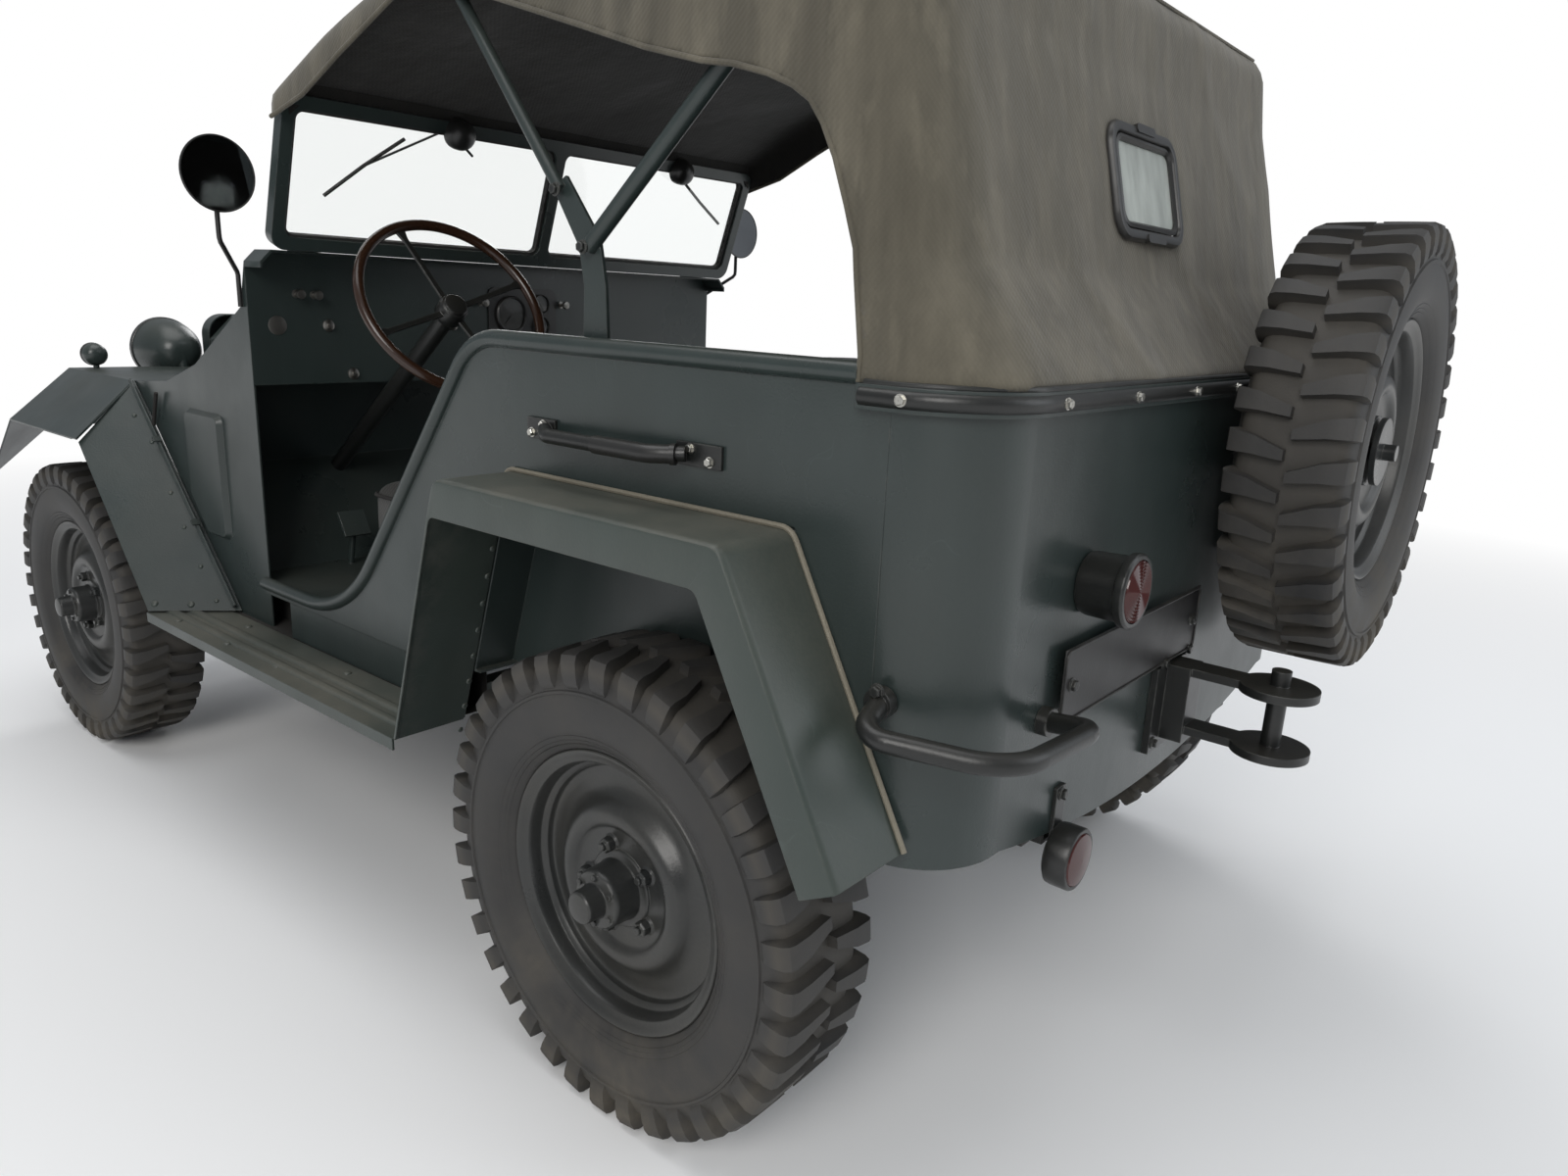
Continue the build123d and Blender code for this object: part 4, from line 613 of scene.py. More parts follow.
def tread_bar(side, turn):
    """One bar of the tread on one side of the tyre."""
    points = []
    for height, outer, inner, half, shift in BAR_SECTIONS:
        base_height = min(height, 0.070) if outer > 0.36 else height - 0.012
        for radius, reach, level in (
            (inner, half * 1.22, base_height),
            (outer, half, height),
            (outer, -half, height),
            (inner, -half * 1.22, base_height),
        ):
            angle = turn + (reach + shift) / TYRE_RADIUS
            points.append(Vector((radius * cos(angle), radius * sin(angle), side * level)))
    faces = ring_faces(len(BAR_SECTIONS), 4)
    faces += [(0, 1, 2, 3), tuple(len(points) - 4 + i for i in (3, 2, 1, 0))]
    return points, [face[::side] for face in faces]


for side, phase in ((1, 0.0), (-1, 0.5)):
    for index in range(LUG_COUNT):
        tyre_shapes.append(tread_bar(side, 2 * pi * (index + phase) / LUG_COUNT))
tyre_piece = new_piece("tyre tread master", *join_shapes(tyre_shapes), rubber, smooth=32)
tyre_mesh = tyre_piece.data
bpy.data.objects.remove(tyre_piece)
print("tyre points", len(tyre_mesh.vertices), "faces", len(tyre_mesh.polygons))

# %% [markdown]
# ## Wheels
#
# The pressed wheel is turned too: lip, well, dish, a bright raised ring, and the recessed centre with
# five conical nuts. The hub in the middle is a stepped casting that reaches 127 mm out.

# %% Wheel meshes
RIM_PROFILE = in_metres([
    (204, -65), (218, -66), (221.5, -64), (221.5, -61), (208, -57.5), (205, -45), (204, 45), (208, 57.5),
    (219, 60), (222.5, 63), (222.8, 66.5), (220.5, 68.5), (216.5, 67.2), (212, 64), (207.5, 61.5),
    (202.5, 59), (199.5, 54), (198.5, 42), (196.5, 37), (191.5, 34.5), (188, 31), (186.8, 25), (185, 22),
    (181, 20.5), (170, 21.5), (156, 24), (145, 29), (137, 37), (131, 45), (125, 50), (118, 52.8),
    (110, 53.2), (104, 51.5), (99, 47), (95.5, 43), (92, 41.5), (70, 41.2), (48, 41), (48, 36), (90, 35),
    (130, 38), (150, 18), (180, 13), (195, 15), (198.5, -45), (200, -56), (204, -65),
])
HUB_PROFILE = in_metres([
    (148, -63), (148, -10), (120, 5), (90, 30), (62, 40), (62, 44), (60, 45.5), (54, 46), (49, 48),
    (47.5, 53), (46.5, 84), (45.5, 89), (43, 92), (40, 93), (30, 93.5), (27.5, 95), (26.5, 98.5),
    (25.5, 118), (24.5, 122.5), (22, 125), (15, 126.5), (6, 127), (0.5, 127),
])
NUT_CIRCLE, HUB_BOLT_CIRCLE = 0.070, 0.0375
NUT_TURNS = [radians(36 + 72 * index) for index in range(5)]


def wheel_nut(turn):
    """A conical wheel nut standing on the recessed centre."""
    place = Matrix.Translation((NUT_CIRCLE * cos(turn), NUT_CIRCLE * sin(turn), 0.0405))
    cone = lathe([(0.0150, 0.0), (0.0150, 0.0015), (0.0120, 0.0040)], 20)
    body = lathe([(0.0121, 0.0035), (0.0121, 0.0150), (0.0098, 0.0175), (0.0062, 0.0175)], 6, start=turn)
    stud = lathe([(0.0062, 0.0120), (0.0062, 0.0225), (0.0050, 0.0235), (0.0004, 0.0235)], 16)
    return [placed(place, shape) for shape in (cone, body, stud)]


wheel_shapes = [lathe(RIM_PROFILE, 96), lathe(HUB_PROFILE, 64)]
for turn in NUT_TURNS:
    wheel_shapes += wheel_nut(turn)
for index in range(6):
    turn = pi * (index + 0.5) / 3
    place = (HUB_BOLT_CIRCLE * cos(turn), HUB_BOLT_CIRCLE * sin(turn), 0.0925)
    wheel_shapes.append(hex_bolt(place, (0, 0, 1), 0.009, 0.004))
hub_wheel = new_piece("wheel with hub", *join_shapes(wheel_shapes), wheel_paint, smooth=30)
spare_wheel = new_piece("spare wheel disc", *lathe(RIM_PROFILE, 96), wheel_paint, smooth=30)
wheel_mesh, spare_mesh = hub_wheel.data, spare_wheel.data
bpy.data.objects.remove(hub_wheel)
bpy.data.objects.remove(spare_wheel)
print("wheel faces", len(wheel_mesh.polygons))

# %% [markdown]
# Five wheels now share these meshes. Each rides on its own CAD body and stands for the CAD nodes
# that it replaces, so MuJoCo keeps the simple solids and the picture gets the detailed ones.

# %% Put the wheels on
places = {
    "rear_left": (Vector((ahead(0), HALF_TRACK, AXLE_Z)), (0, 1, 0)),
    "rear_right": (Vector((ahead(0), -HALF_TRACK, AXLE_Z)), (0, -1, 0)),
    "front_left": (Vector((ahead(WHEEL_BASE), HALF_TRACK, AXLE_Z)), (0, 1, 0)),
    "front_right": (Vector((ahead(WHEEL_BASE), -HALF_TRACK, AXLE_Z)), (0, -1, 0)),
    "spare": (SPARE_PLACE, (-1, 0, 0)),
}
for name, (place, outward) in places.items():
    spare = name == "spare"
    body = "body" if spare else "wheel_" + name
    for kind, mesh, finish_slot in (
        ("tyre", tyre_mesh, "tyre"),
        ("wheel", spare_mesh if spare else wheel_mesh, "wheel_paint"),
    ):
        piece = bpy.data.objects.new(f"{kind}_{name}_dressed", mesh)
        scene.collection.objects.link(piece)
        piece.matrix_world = stand(place, outward)
        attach(piece, body)
        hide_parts(f"{kind}_{name}")
print("wheels on")

# %% [markdown]
# ## One call to fit a piece
#
# Each new piece rides on a body and may stand for CAD nodes. Most
# pieces are many small shapes of one finish, and `fit` makes and dresses such a piece in one line.


# %% Fit a piece
def dress(piece, finish, *stands_for, body="body"):
    """Let a piece ride on a body, and let it stand for CAD nodes."""
    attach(piece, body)
    if stands_for:
        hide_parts(*stands_for)
    return piece


def fit(name, shapes, material, finish, *stands_for, body="body", smooth=35.0):
    """One dressed piece out of many shapes."""
    return dress(new_piece(name, *join_shapes(shapes), material, smooth), finish, *stands_for, body=body)


def between(rows, at):
    """The rest of the row of a table that belongs to a value of its first column."""
    if at <= rows[0][0]:
        return rows[0][1:]
    for lower, upper in zip(rows, rows[1:]):
        if at <= upper[0]:
            share = (at - lower[0]) / (upper[0] - lower[0])
            return tuple(a + (b - a) * share for a, b in zip(lower[1:], upper[1:]))
    return rows[-1][1:]


print("ready to dress the body")

# %% [markdown]
# ## Where the canvas lies
#
# The canvas is one sheet of cloth. Two simple shapes say where it lies: a wall that leans in as it
# rises and turns round two rear corners, and a roof that is highest over the front bow and sags between
# the bows. `outside` tells how far a point is outside both, and rounds the shoulder where they meet.
# A roof row holds station, level and shoulder radius; a wall row holds level, rear station, half width
# at the rear and at the front, and the corner's radius.

# %% The canvas as a distance
ROOF = [
    (-0.5400, 1.7480, 0.058), (-0.2590, 1.7480, 0.058), (0.6000, 1.7860, 0.062),
    (0.9003, 1.6880, 0.056), (1.0783, 1.5967, 0.034),
]
WALL = [
    (1.100, -0.5183, 0.7083, 0.7083, 0.1333), (1.168, -0.5183, 0.7083, 0.7083, 0.1333),
    (1.300, -0.4320, 0.6993, 0.7013, 0.1283), (1.600, -0.3580, 0.6723, 0.6823, 0.1133),
    (1.820, -0.3300, 0.6503, 0.6683, 0.0983),
]
FRONT_EDGE, HEM_LEVEL = 1.0783, 1.1548
BOW_STATIONS = (-0.259, 0.600)


def soft_roof(station):
    """Roof level and shoulder radius, softened where the cloth bends over a bow."""
    reach = min(0.045, max(FRONT_EDGE - station, 0.0))
    rows = [between(ROOF, station + shift) for shift in (-reach, 0.0, reach)]
    return tuple(before * 0.25 + here * 0.5 + after * 0.25 for before, here, after in zip(*rows))


def sag(station, across):
    """How far the cloth hangs between the bows."""
    rear, front = BOW_STATIONS
    if rear < station < front:
        depth = 0.013 * sin(pi * (station - rear) / (front - rear)) ** 2
    elif station > front:
        depth = 0.007 * sin(pi * min(1.0, (station - front) / (FRONT_EDGE - front))) ** 2
    else:
        depth = 0.0
    return depth * max(0.0, 1 - (across / 0.62) ** 2)


def outside(place):
    """How far a point is outside the canvas; below zero is inside."""
    station = place.x - REAR_AXLE_X
    level, shoulder = soft_roof(station)
    back, rear_half, front_half, corner = between(WALL, place.z)
    half = rear_half + (front_half - rear_half) * (station - back) / (FRONT_EDGE - back)
    behind = back + corner - station
    beside = abs(place.y) - (half - corner)
    wall = min(max(behind, beside), 0.0) + hypot(max(behind, 0.0), max(beside, 0.0)) - corner
    roof = place.z - level + sag(station, place.y)
    up, out = roof + shoulder, wall + shoulder
    return min(max(up, out), 0.0) + hypot(max(up, 0.0), max(out, 0.0)) - shoulder


def on_canvas(start, direction):
    """The point of the canvas that is met from start along direction."""
    place = Vector(start)
    for _ in range(10):
        place = place - direction * outside(place)
    return place


def wrinkle(place):
    """Small folds: long and upright on the walls, softer on the roof, sharper near the corners."""
    folds = noise.fractal(Vector((place.x * 2.4, place.y * 4.6, place.z * 1.2)), 1.0, 2.0, 3)
    slanted = Vector((place.x * 3.0 + place.z, place.y * 3.0 - place.z * 1.8, place.z * 2.2 + 7.0))
    crease = max(0.0, 1 - 3.0 * abs(noise.noise(slanted))) ** 2
    return 0.0030 * folds + 0.0028 * crease - 0.0020


print("canvas at the top", tuple(on_canvas((ahead(0.3), 0, 1.6), Vector((0, 0, 1)))))

# %% [markdown]
# ## Grow the sheet
#
# The grid is that of a box without a floor and a front: upright columns run round the sides and the
# rear, each turns inward over the shoulder, and a flat grid closes the roof. After that the side
# openings and the window are cut along straight lines, and the cloth gets its thickness.

# %% Canvas sheet
INSET, SHOULDER_DROP = 0.115, 0.055
SIDE_STEPS, CORNER_STEPS, REAR_STEPS, WALL_STEPS = 104, 14, 84, 44
SHOULDER_AIMS = [(1.0, step / 3) for step in range(1, 4)] + [(1 - step / 6, 1.0) for step in range(1, 7)]


def inner_back(level):
    """Station where the rear corner begins at this level."""
    return between(WALL, level)[0] + INSET


def column_foot(kind, share, level):
    """The point inside the sheet from which a column's point at this level is pushed out, and the way out."""
    back = inner_back(level)
    if kind in ("left", "right"):
        sign = 1 if kind == "left" else -1
        start, end = (FRONT_EDGE, back) if sign > 0 else (back, FRONT_EDGE)
        station = start + (end - start) * share
        return Vector((ahead(station), sign * inner_half(station, level), level)), Vector((0, sign, 0))
    if kind == "rear":
        half = inner_half(back, level)
        return Vector((ahead(back), half * (1 - 2 * share), level)), Vector((-1, 0, 0))
    sign = 1 if kind == "left corner" else -1
    turn = pi / 2 * (share if sign > 0 else 1 - share)
    foot = Vector((ahead(back), sign * inner_half(back, level), level))
    return foot, Vector((-sin(turn), sign * cos(turn), 0))


def inner_half(station, level):
    """Half width of the box inside the sheet."""
    back, rear_half, front_half, _ = between(WALL, level)
    return rear_half + (front_half - rear_half) * (station - back) / (FRONT_EDGE - back) - INSET


def turn_level(station):
    """Level at which a wall begins to turn into the roof."""
    return soft_roof(station)[0] - SHOULDER_DROP


columns = []
for kind, steps in (
    ("left", SIDE_STEPS), ("left corner", CORNER_STEPS), ("rear", REAR_STEPS),
    ("right corner", CORNER_STEPS), ("right", SIDE_STEPS),
):
    columns += [(kind, step / steps) for step in range(steps)]
columns.append(("right", 1.0))

canvas_points, canvas_faces = [], []
for kind, share in columns:
    top_level = turn_level(column_foot(kind, share, 1.7)[0].x - REAR_AXLE_X)
    for row in range(WALL_STEPS + 1):
        level = HEM_LEVEL + (top_level - HEM_LEVEL) * row / WALL_STEPS
        canvas_points.append(on_canvas(*column_foot(kind, share, level)))
    foot, way = column_foot(kind, share, top_level)
    for out, up in SHOULDER_AIMS:
        aim = (way * out * INSET + Vector((0, 0, up * SHOULDER_DROP))).normalized()
        canvas_points.append(on_canvas(foot, aim))
canvas_faces += ring_faces(len(columns), WALL_STEPS + 1 + len(SHOULDER_AIMS), closed=False)

first = len(canvas_points)
for row in range(SIDE_STEPS + 1):
    level = turn_level(column_foot("left", row / SIDE_STEPS, 1.7)[0].x - REAR_AXLE_X)
    foot = column_foot("left", row / SIDE_STEPS, level)[0]
    for step in range(REAR_STEPS + 1):
        start = Vector((foot.x, foot.y * (1 - 2 * step / REAR_STEPS), level))
        canvas_points.append(on_canvas(start, Vector((0, 0, 1))))
for row in range(SIDE_STEPS):
    for step in range(REAR_STEPS):
        corner = first + row * (REAR_STEPS + 1) + step
        canvas_faces.append((corner, corner + REAR_STEPS + 1, corner + REAR_STEPS + 2, corner + 1))
print("canvas grid", len(canvas_points), "points")

# %% [markdown]
# The side openings follow this lower edge, given as stations and levels. `low_edge` gives its level.

# %% Cut the openings
LOW_EDGE = [
    (-0.3410, 1.1500), (-0.3409, 1.1850), (-0.3180, 1.3050), (-0.2990, 1.3530), (-0.2750, 1.4070),
    (-0.2520, 1.4460), (-0.2290, 1.4740), (-0.2000, 1.4920), (-0.1600, 1.5080), (-0.1010, 1.5240),
    (-0.0450, 1.5330), (0.0600, 1.5590), (0.1960, 1.6010), (0.3020, 1.6330), (0.6000, 1.7220),
    (0.8300, 1.6260), (0.9600, 1.5670), (1.1083, 1.5280),
]
WINDOW_PLACE = Vector((ahead(-0.39945), 0.075, 1.4332))
WINDOW_LEAN = atan2(74, 300)
WINDOW_UP = Vector((sin(WINDOW_LEAN), 0, cos(WINDOW_LEAN)))
WINDOW_WIDE, WINDOW_TALL = 0.240, 0.153
CUT_ROOM, SIDE_FROM, REAR_UNTIL = 0.012, 0.45, ahead(-0.33)

sheet_piece = new_piece("canvas_sheet", canvas_points, canvas_faces, canvas_outside, smooth=180)
work = bmesh.new()
work.from_mesh(sheet_piece.data)
bmesh.ops.remove_doubles(work, verts=work.verts, dist=0.0004)


def cut(place, across, chosen):
    """Cut the chosen faces along a plane."""
    faces = [face for face in work.faces if chosen(face.calc_center_median())]
    edges = {edge for face in faces for edge in face.edges}
    points = {point for face in faces for point in face.verts}
    bmesh.ops.bisect_plane(work, geom=faces + list(edges) + list(points), plane_co=place, plane_no=across)


for (x0, z0), (x1, z1) in zip(LOW_EDGE, LOW_EDGE[1:]):
    low_x, high_x = ahead(x0) - CUT_ROOM, ahead(x1) + CUT_ROOM
    low_z, high_z = min(z0, z1) - CUT_ROOM, max(z0, z1) + CUT_ROOM
    cut(
        Vector((ahead(x0), 0, z0)),
        Vector((z1 - z0, 0, x0 - x1)).normalized(),
        lambda at: abs(at.y) > SIDE_FROM and low_x < at.x < high_x and low_z < at.z < high_z,
    )
half_wide, half_tall = WINDOW_WIDE / 2 - 0.008, WINDOW_TALL / 2 - 0.008
for shift, across in (
    (Vector((0, half_wide, 0)), Vector((0, 1, 0))), (Vector((0, -half_wide, 0)), Vector((0, 1, 0))),
    (WINDOW_UP * half_tall, WINDOW_UP), (WINDOW_UP * -half_tall, WINDOW_UP),
):
    cut(WINDOW_PLACE + shift, across, lambda at: at.x < REAR_UNTIL and (at - WINDOW_PLACE).length < 0.22)


def is_open(at):
    """True in a side opening or in the window."""
    station = at.x - REAR_AXLE_X
    if abs(at.y) > SIDE_FROM and station > LOW_EDGE[0][0] and at.z < between(LOW_EDGE, station)[0]:
        return True
    off = at - WINDOW_PLACE
    return at.x < REAR_UNTIL and abs(off.y) < half_wide and abs(off.dot(WINDOW_UP)) < half_tall


open_faces = [face for face in work.faces if is_open(face.calc_center_median())]
bmesh.ops.delete(work, geom=open_faces, context="FACES")
bmesh.ops.recalc_face_normals(work, faces=work.faces)
if sum(face.normal.z for face in work.faces) < 0:
    bmesh.ops.reverse_faces(work, faces=work.faces)
work.normal_update()
for point in work.verts:
    point.co += point.normal * wrinkle(point.co)
flat_area = sum(face.calc_area() for face in work.faces)
work.to_mesh(sheet_piece.data)
work.free()
sheet_piece.data.shade_smooth()
# The inner faces of the thickened sheet take the near-black painted shade.
sheet_piece.data.materials.append(canvas_inside_painted_shade)
modifier(sheet_piece, "SOLIDIFY", thickness=0.003, offset=-1.0, material_offset=1)
print("canvas area", round(flat_area, 3), "square metres")

# %% [markdown]
# Hems and seams are cords of folded cloth that follow the sheet: along both side openings, over the
# windshield, and where the roof was sewn to the rear. The front edge is tucked down to the windshield
# frame, so that no light shows between the two.


# %% Hems and seams
def spaced(points, step):
    """The same line with points at most step apart."""
    line = [Vector(points[0])]
    for a, b in zip(points, points[1:]):
        a, b = Vector(a), Vector(b)
        count = max(1, int((b - a).length / step))
        line += [a.lerp(b, index / count) for index in range(1, count + 1)]
    return line


def fold_route(side):
    """The lower edge of the canvas on one side."""
    route = []
    edge = [(x, 0, max(z, HEM_LEVEL)) for x, z in LOW_EDGE[:-1]] + [(FRONT_EDGE, 0, 1.5370)]
    for at in spaced(edge, 0.012):
        start = Vector((ahead(at.x), side * inner_half(at.x, at.z), at.z))
        point = on_canvas(start, Vector((0, side, 0)))
        route.append(point + Vector((0, -side * 0.0015, 0)))
    return route


def from_left(half, steps):
    """Half widths from the left side to the right one."""
    return [half - 2 * half * step / steps for step in range(steps + 1)]


UP, BACK_AND_UP = Vector((0, 0, 1)), Vector((-0.80, 0, 0.60)).normalized()
TUCK_STATION = 1.0560
front_hem = [on_canvas((ahead(FRONT_EDGE - 0.004), y, 1.45), UP) for y in from_left(0.600, 80)]
seam = [on_canvas((ahead(-0.150), y, 1.60), BACK_AND_UP) for y in from_left(0.560, 70)]
hem_shapes = [sweep(fold_route(side), 0.0042, 8) for side in (1, -1)]
hem_shapes += [sweep(front_hem, 0.0055, 8), sweep(seam, 0.0030, 6)]
hem_piece = fit("canvas_hems", hem_shapes, canvas_outside, "canvas")
tuck = []
for across in from_left(0.660, 66):
    drop = 0.035 * max(0.0, min(1.0, (abs(across) - 0.625) / 0.03))
    upper = on_canvas((ahead(TUCK_STATION), across, 1.45), UP)
    tuck.append((upper - UP * 0.0040, Vector((ahead(TUCK_STATION), across, 1.5775 - drop))))
tuck_points = [at + Vector((shift, 0, 0)) for shift in (0.0, 0.0015) for row in tuck for at in row]
half = len(tuck_points) // 2
tuck_faces = [(k, k + 1, k + 3, k + 2) for k in range(0, half - 2, 2)]
tuck_faces += [tuple(index + half for index in face[::-1]) for face in tuck_faces]
# The tuck is in the near-black canvas of the inside: painted shade.
front_tuck = fit("canvas_front_tuck", [(tuck_points, tuck_faces)], canvas_inside_painted_shade, "canvas")
dress(sheet_piece, "canvas", "canvas_top")
print("hems", len(hem_piece.data.polygons), "faces")

# %% [markdown]
# ## Mouldings
#
# A rounded rectangle with a small profile round it serves for the window frame, the rubber round the
# windshield panes, the number plate's rim and the instrument panel. The rear window is a sheet of
# clouded plastic in a frame of two mouldings, with a clip above and below.


# %% Rounded mouldings
def rounded_outline(wide, tall, corner, outward=0.0, steps=8):
    """Points of a rounded rectangle, grown by outward."""
    points = []
    for quarter, (sign_x, sign_y) in enumerate(((1, 1), (-1, 1), (-1, -1), (1, -1))):
        for step in range(steps + 1):
            turn = pi / 2 * (quarter + step / steps)
            reach = corner + outward
            middle_x, middle_y = sign_x * (wide / 2 - corner), sign_y * (tall / 2 - corner)
            points.append((middle_x + reach * cos(turn), middle_y + reach * sin(turn)))
    return points


def moulding(matrix, wide, tall, corner, profile):
    """A frame whose section is a closed list of (outward, height), standing on a plane."""
    points = []
    for outward, height in profile:
        outline = rounded_outline(wide, tall, corner, outward)
        points += [matrix @ Vector((x, y, height)) for x, y in outline]
    return points, ring_faces(len(profile), len(points) // len(profile))


def pane(matrix, wide, tall, corner, height=0.0, thickness=0.003, outward=0.0):
    """A flat rounded pane with a thickness."""
    outline = rounded_outline(wide, tall, corner, outward)
    count = len(outline)
    points = [matrix @ Vector((x, y, height + level)) for level in (0.0, thickness) for x, y in outline]
    faces = ring_faces(2, count) + [tuple(range(count))[::-1], tuple(range(count, 2 * count))]
    return points, faces


def plane_at(place, along, upward):
    """A plane's matrix from its own X and Y directions."""
    along, upward = Vector(along).normalized(), Vector(upward).normalized()
    return axes_at(place, along, upward, along.cross(upward))


print("moulding helpers ready")

# %% [markdown]
# The rear window: a half-round outer frame, an inner bead, two clips and the clouded sheet.

# %% Rear window
HALF_ROUND = in_metres([(9, 0), (9, 4), (6, 8.5), (0, 10), (-6, 8.5), (-9, 4), (-9, 0), (9, 0)])
INNER_BEAD = in_metres([(5, -4), (5, 6), (0, 7.5), (-4, 4), (-4, -4), (5, -4)])
window_plane = plane_at(WINDOW_PLACE, (0, -1, 0), WINDOW_UP)
inner_wide, inner_tall = WINDOW_WIDE - 0.030, WINDOW_TALL - 0.030
window_shapes = [
    moulding(window_plane, WINDOW_WIDE, WINDOW_TALL, 0.030, HALF_ROUND),
    moulding(window_plane, inner_wide, inner_tall, 0.020, INNER_BEAD),
]
for up in (WINDOW_TALL / 2 + 0.004, -WINDOW_TALL / 2 - 0.004):
    at = window_plane @ Matrix.Translation((0, up, 0))
    window_shapes.append(pane(at, 0.070, 0.013, 0.006, 0.004, 0.008))
fit("rear_window_frame", window_shapes, black_plastic, "window_plastic", "rear_window")
clouded, tree, shader = base_material("clouded window sheet")
streaks = noise_mask(tree, 9.0, 0.35, 0.70, stretch=(3.0, 3.0, 0.5))
tint = mixed(tree, streaks, (0.40, 0.43, 0.40), (0.62, 0.66, 0.62))
feed(tree, shader, {"Base Color": tint, "Roughness": 0.32, "Transmission Weight": 0.45})
window_pane = pane(window_plane, inner_wide, inner_tall, 0.02, -0.001, 0.002, 0.003)
fit("rear_window_pane", [window_pane], clouded, "window_plastic")
print("window done")

# %% [markdown]
# ## Seats
#
# A cushion starts as a box with crowned faces. Blender's cloth simulation then inflates it a little
# with pressure instead of gravity, so that its faces swell and its sides pull in between the corners.
# The movement is capped, the underside stays flat, and piping runs round the upper seam.


# %% Padded seats
def crowned_block(low, high, crown, corner=0.03, cell=0.012):
    """A closed box with rounded edges, whose faces swell by crown in their middle."""
    low, high = Vector(low), Vector(high)
    middle, half = (low + high) / 2, (high - low) / 2
    work = bmesh.new()
    bmesh.ops.create_cube(work, size=2.0)
    for axis in range(3):
        count = max(3, int(2 * half[axis] / cell))
        for step in range(1, count):
            across = Vector([float(index == axis) for index in range(3)])
            place = across * (-1 + 2 * step / count)
            geom = work.verts[:] + work.edges[:] + work.faces[:]
            bmesh.ops.bisect_plane(work, geom=geom, plane_co=place, plane_no=across)
    for point in work.verts:
        share = point.co.copy()
        swell = Vector([
            crown * share[a] ** 3 * (1 - share[a - 1] ** 2) * (1 - share[a - 2] ** 2) for a in range(3)
        ])
        inner = Vector([max(-half[a] + corner, min(half[a] - corner, share[a] * half[a])) for a in range(3)])
        away = Vector([share[a] * half[a] - inner[a] for a in range(3)])
        rounded = inner + (away.normalized() * corner if away.length > 1e-6 else away)
        point.co = middle + rounded + swell
    mesh = bpy.data.meshes.new("pad")
    bmesh.ops.recalc_face_normals(work, faces=work.faces)
    work.to_mesh(mesh)
    work.free()
    return mesh


def inflate(piece, cap, floor_level, frames=20):
    """Swell a pad with cloth pressure, cap the movement and keep the underside flat."""
    start = [point.co.copy() for point in piece.data.vertices]
    cloth = modifier(piece, "CLOTH")
    cloth.settings.use_pressure = True
    cloth.settings.uniform_pressure_force = 4.0
    cloth.settings.effector_weights.gravity = 0.0
    cloth.settings.tension_stiffness = 20.0
    cloth.point_cache.frame_start, cloth.point_cache.frame_end = 1, frames
    for frame_number in range(1, frames + 1):
        scene.frame_set(frame_number)
    swollen = piece.evaluated_get(bpy.context.evaluated_depsgraph_get()).to_mesh()
    moved = [point.co.copy() for point in swollen.vertices]
    piece.modifiers.remove(cloth)
    for point, before, after in zip(piece.data.vertices, start, moved):
        step = after - before
        place = before + step * min(1.0, cap / max(step.length, 1e-6))
        place.z = max(place.z, floor_level)
        point.co = place
    scene.frame_set(1)


PAD_ROOM, PAD_LIFT = 0.010, 0.001


def pad(name, low, high, crown, cap):
    """A seat pad in the space between two corners, with room for its swelling."""
    low, high = Vector(low), Vector(high)
    base = low.z
    mesh = crowned_block(low + Vector((PAD_ROOM, PAD_ROOM, PAD_LIFT)), high - Vector([PAD_ROOM] * 3), crown)
    mesh.materials.append(seat_cloth)
    mesh.shade_smooth()
    piece = bpy.data.objects.new(name, mesh)
    scene.collection.objects.link(piece)
    inflate(piece, cap, base)
    modifier(piece, "SUBSURF", levels=1, render_levels=1)
    return piece


print("pad helpers ready")

# %% [markdown]
# Two front seats and a bench, each with a cushion and a back. A row of the table holds the name, the
# rear and front station, the middle, the half width, and the levels of base, cushion and back.

# %% Seat pads
SEATS = [
    ("seat_left", 0.530, 0.970, 0.390, 0.215, 0.700, 0.850, 1.120),
    ("seat_right", 0.530, 0.970, -0.390, 0.215, 0.700, 0.850, 1.120),
    ("bench", -0.400, 0.060, 0.0, 0.590, 0.700, 0.840, 1.120),
]
seat_pieces = []
piping_shapes = []
for name, rear, front, middle, half, base, top_z, back_z in SEATS:
    for part, start, end, level, crown, cap in (
        ("_cushion", rear + 0.0905, front, top_z, 0.008, 0.006),
        ("_back", rear, rear + 0.090, back_z, 0.007, 0.005),
    ):
        low, high = (ahead(start), middle - half, base), (ahead(end), middle + half, level)
        seat_pieces.append(pad(name + part, low, high, crown, cap))
    cushion_seam = (rear + 0.105, front - 0.014, top_z - 0.030)
    back_seam = (rear + 0.012, rear + 0.078, back_z - 0.024)
    for x0, x1, level in (cushion_seam, back_seam):
        outline = rounded_outline(x1 - x0, 2 * half - 0.026, 0.026)
        loop = [Vector((ahead((x0 + x1) / 2) + x, middle + y, level)) for x, y in outline]
        piping_shapes.append(sweep(spaced(loop + loop[:1], 0.02)[:-1], 0.0038, 6, closed=True))
for piece in seat_pieces:
    dress(piece, "seat_cloth")
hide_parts("seats")
fit("seat_piping", piping_shapes, dark_cloth_and_painted_shade, "seat_cloth")
print("pads", len(seat_pieces))

# %% [markdown]
# ## Steering wheel
#
# A thin rim of dark brown plastic, four steel spokes that widen where they meet it, and a round hub.

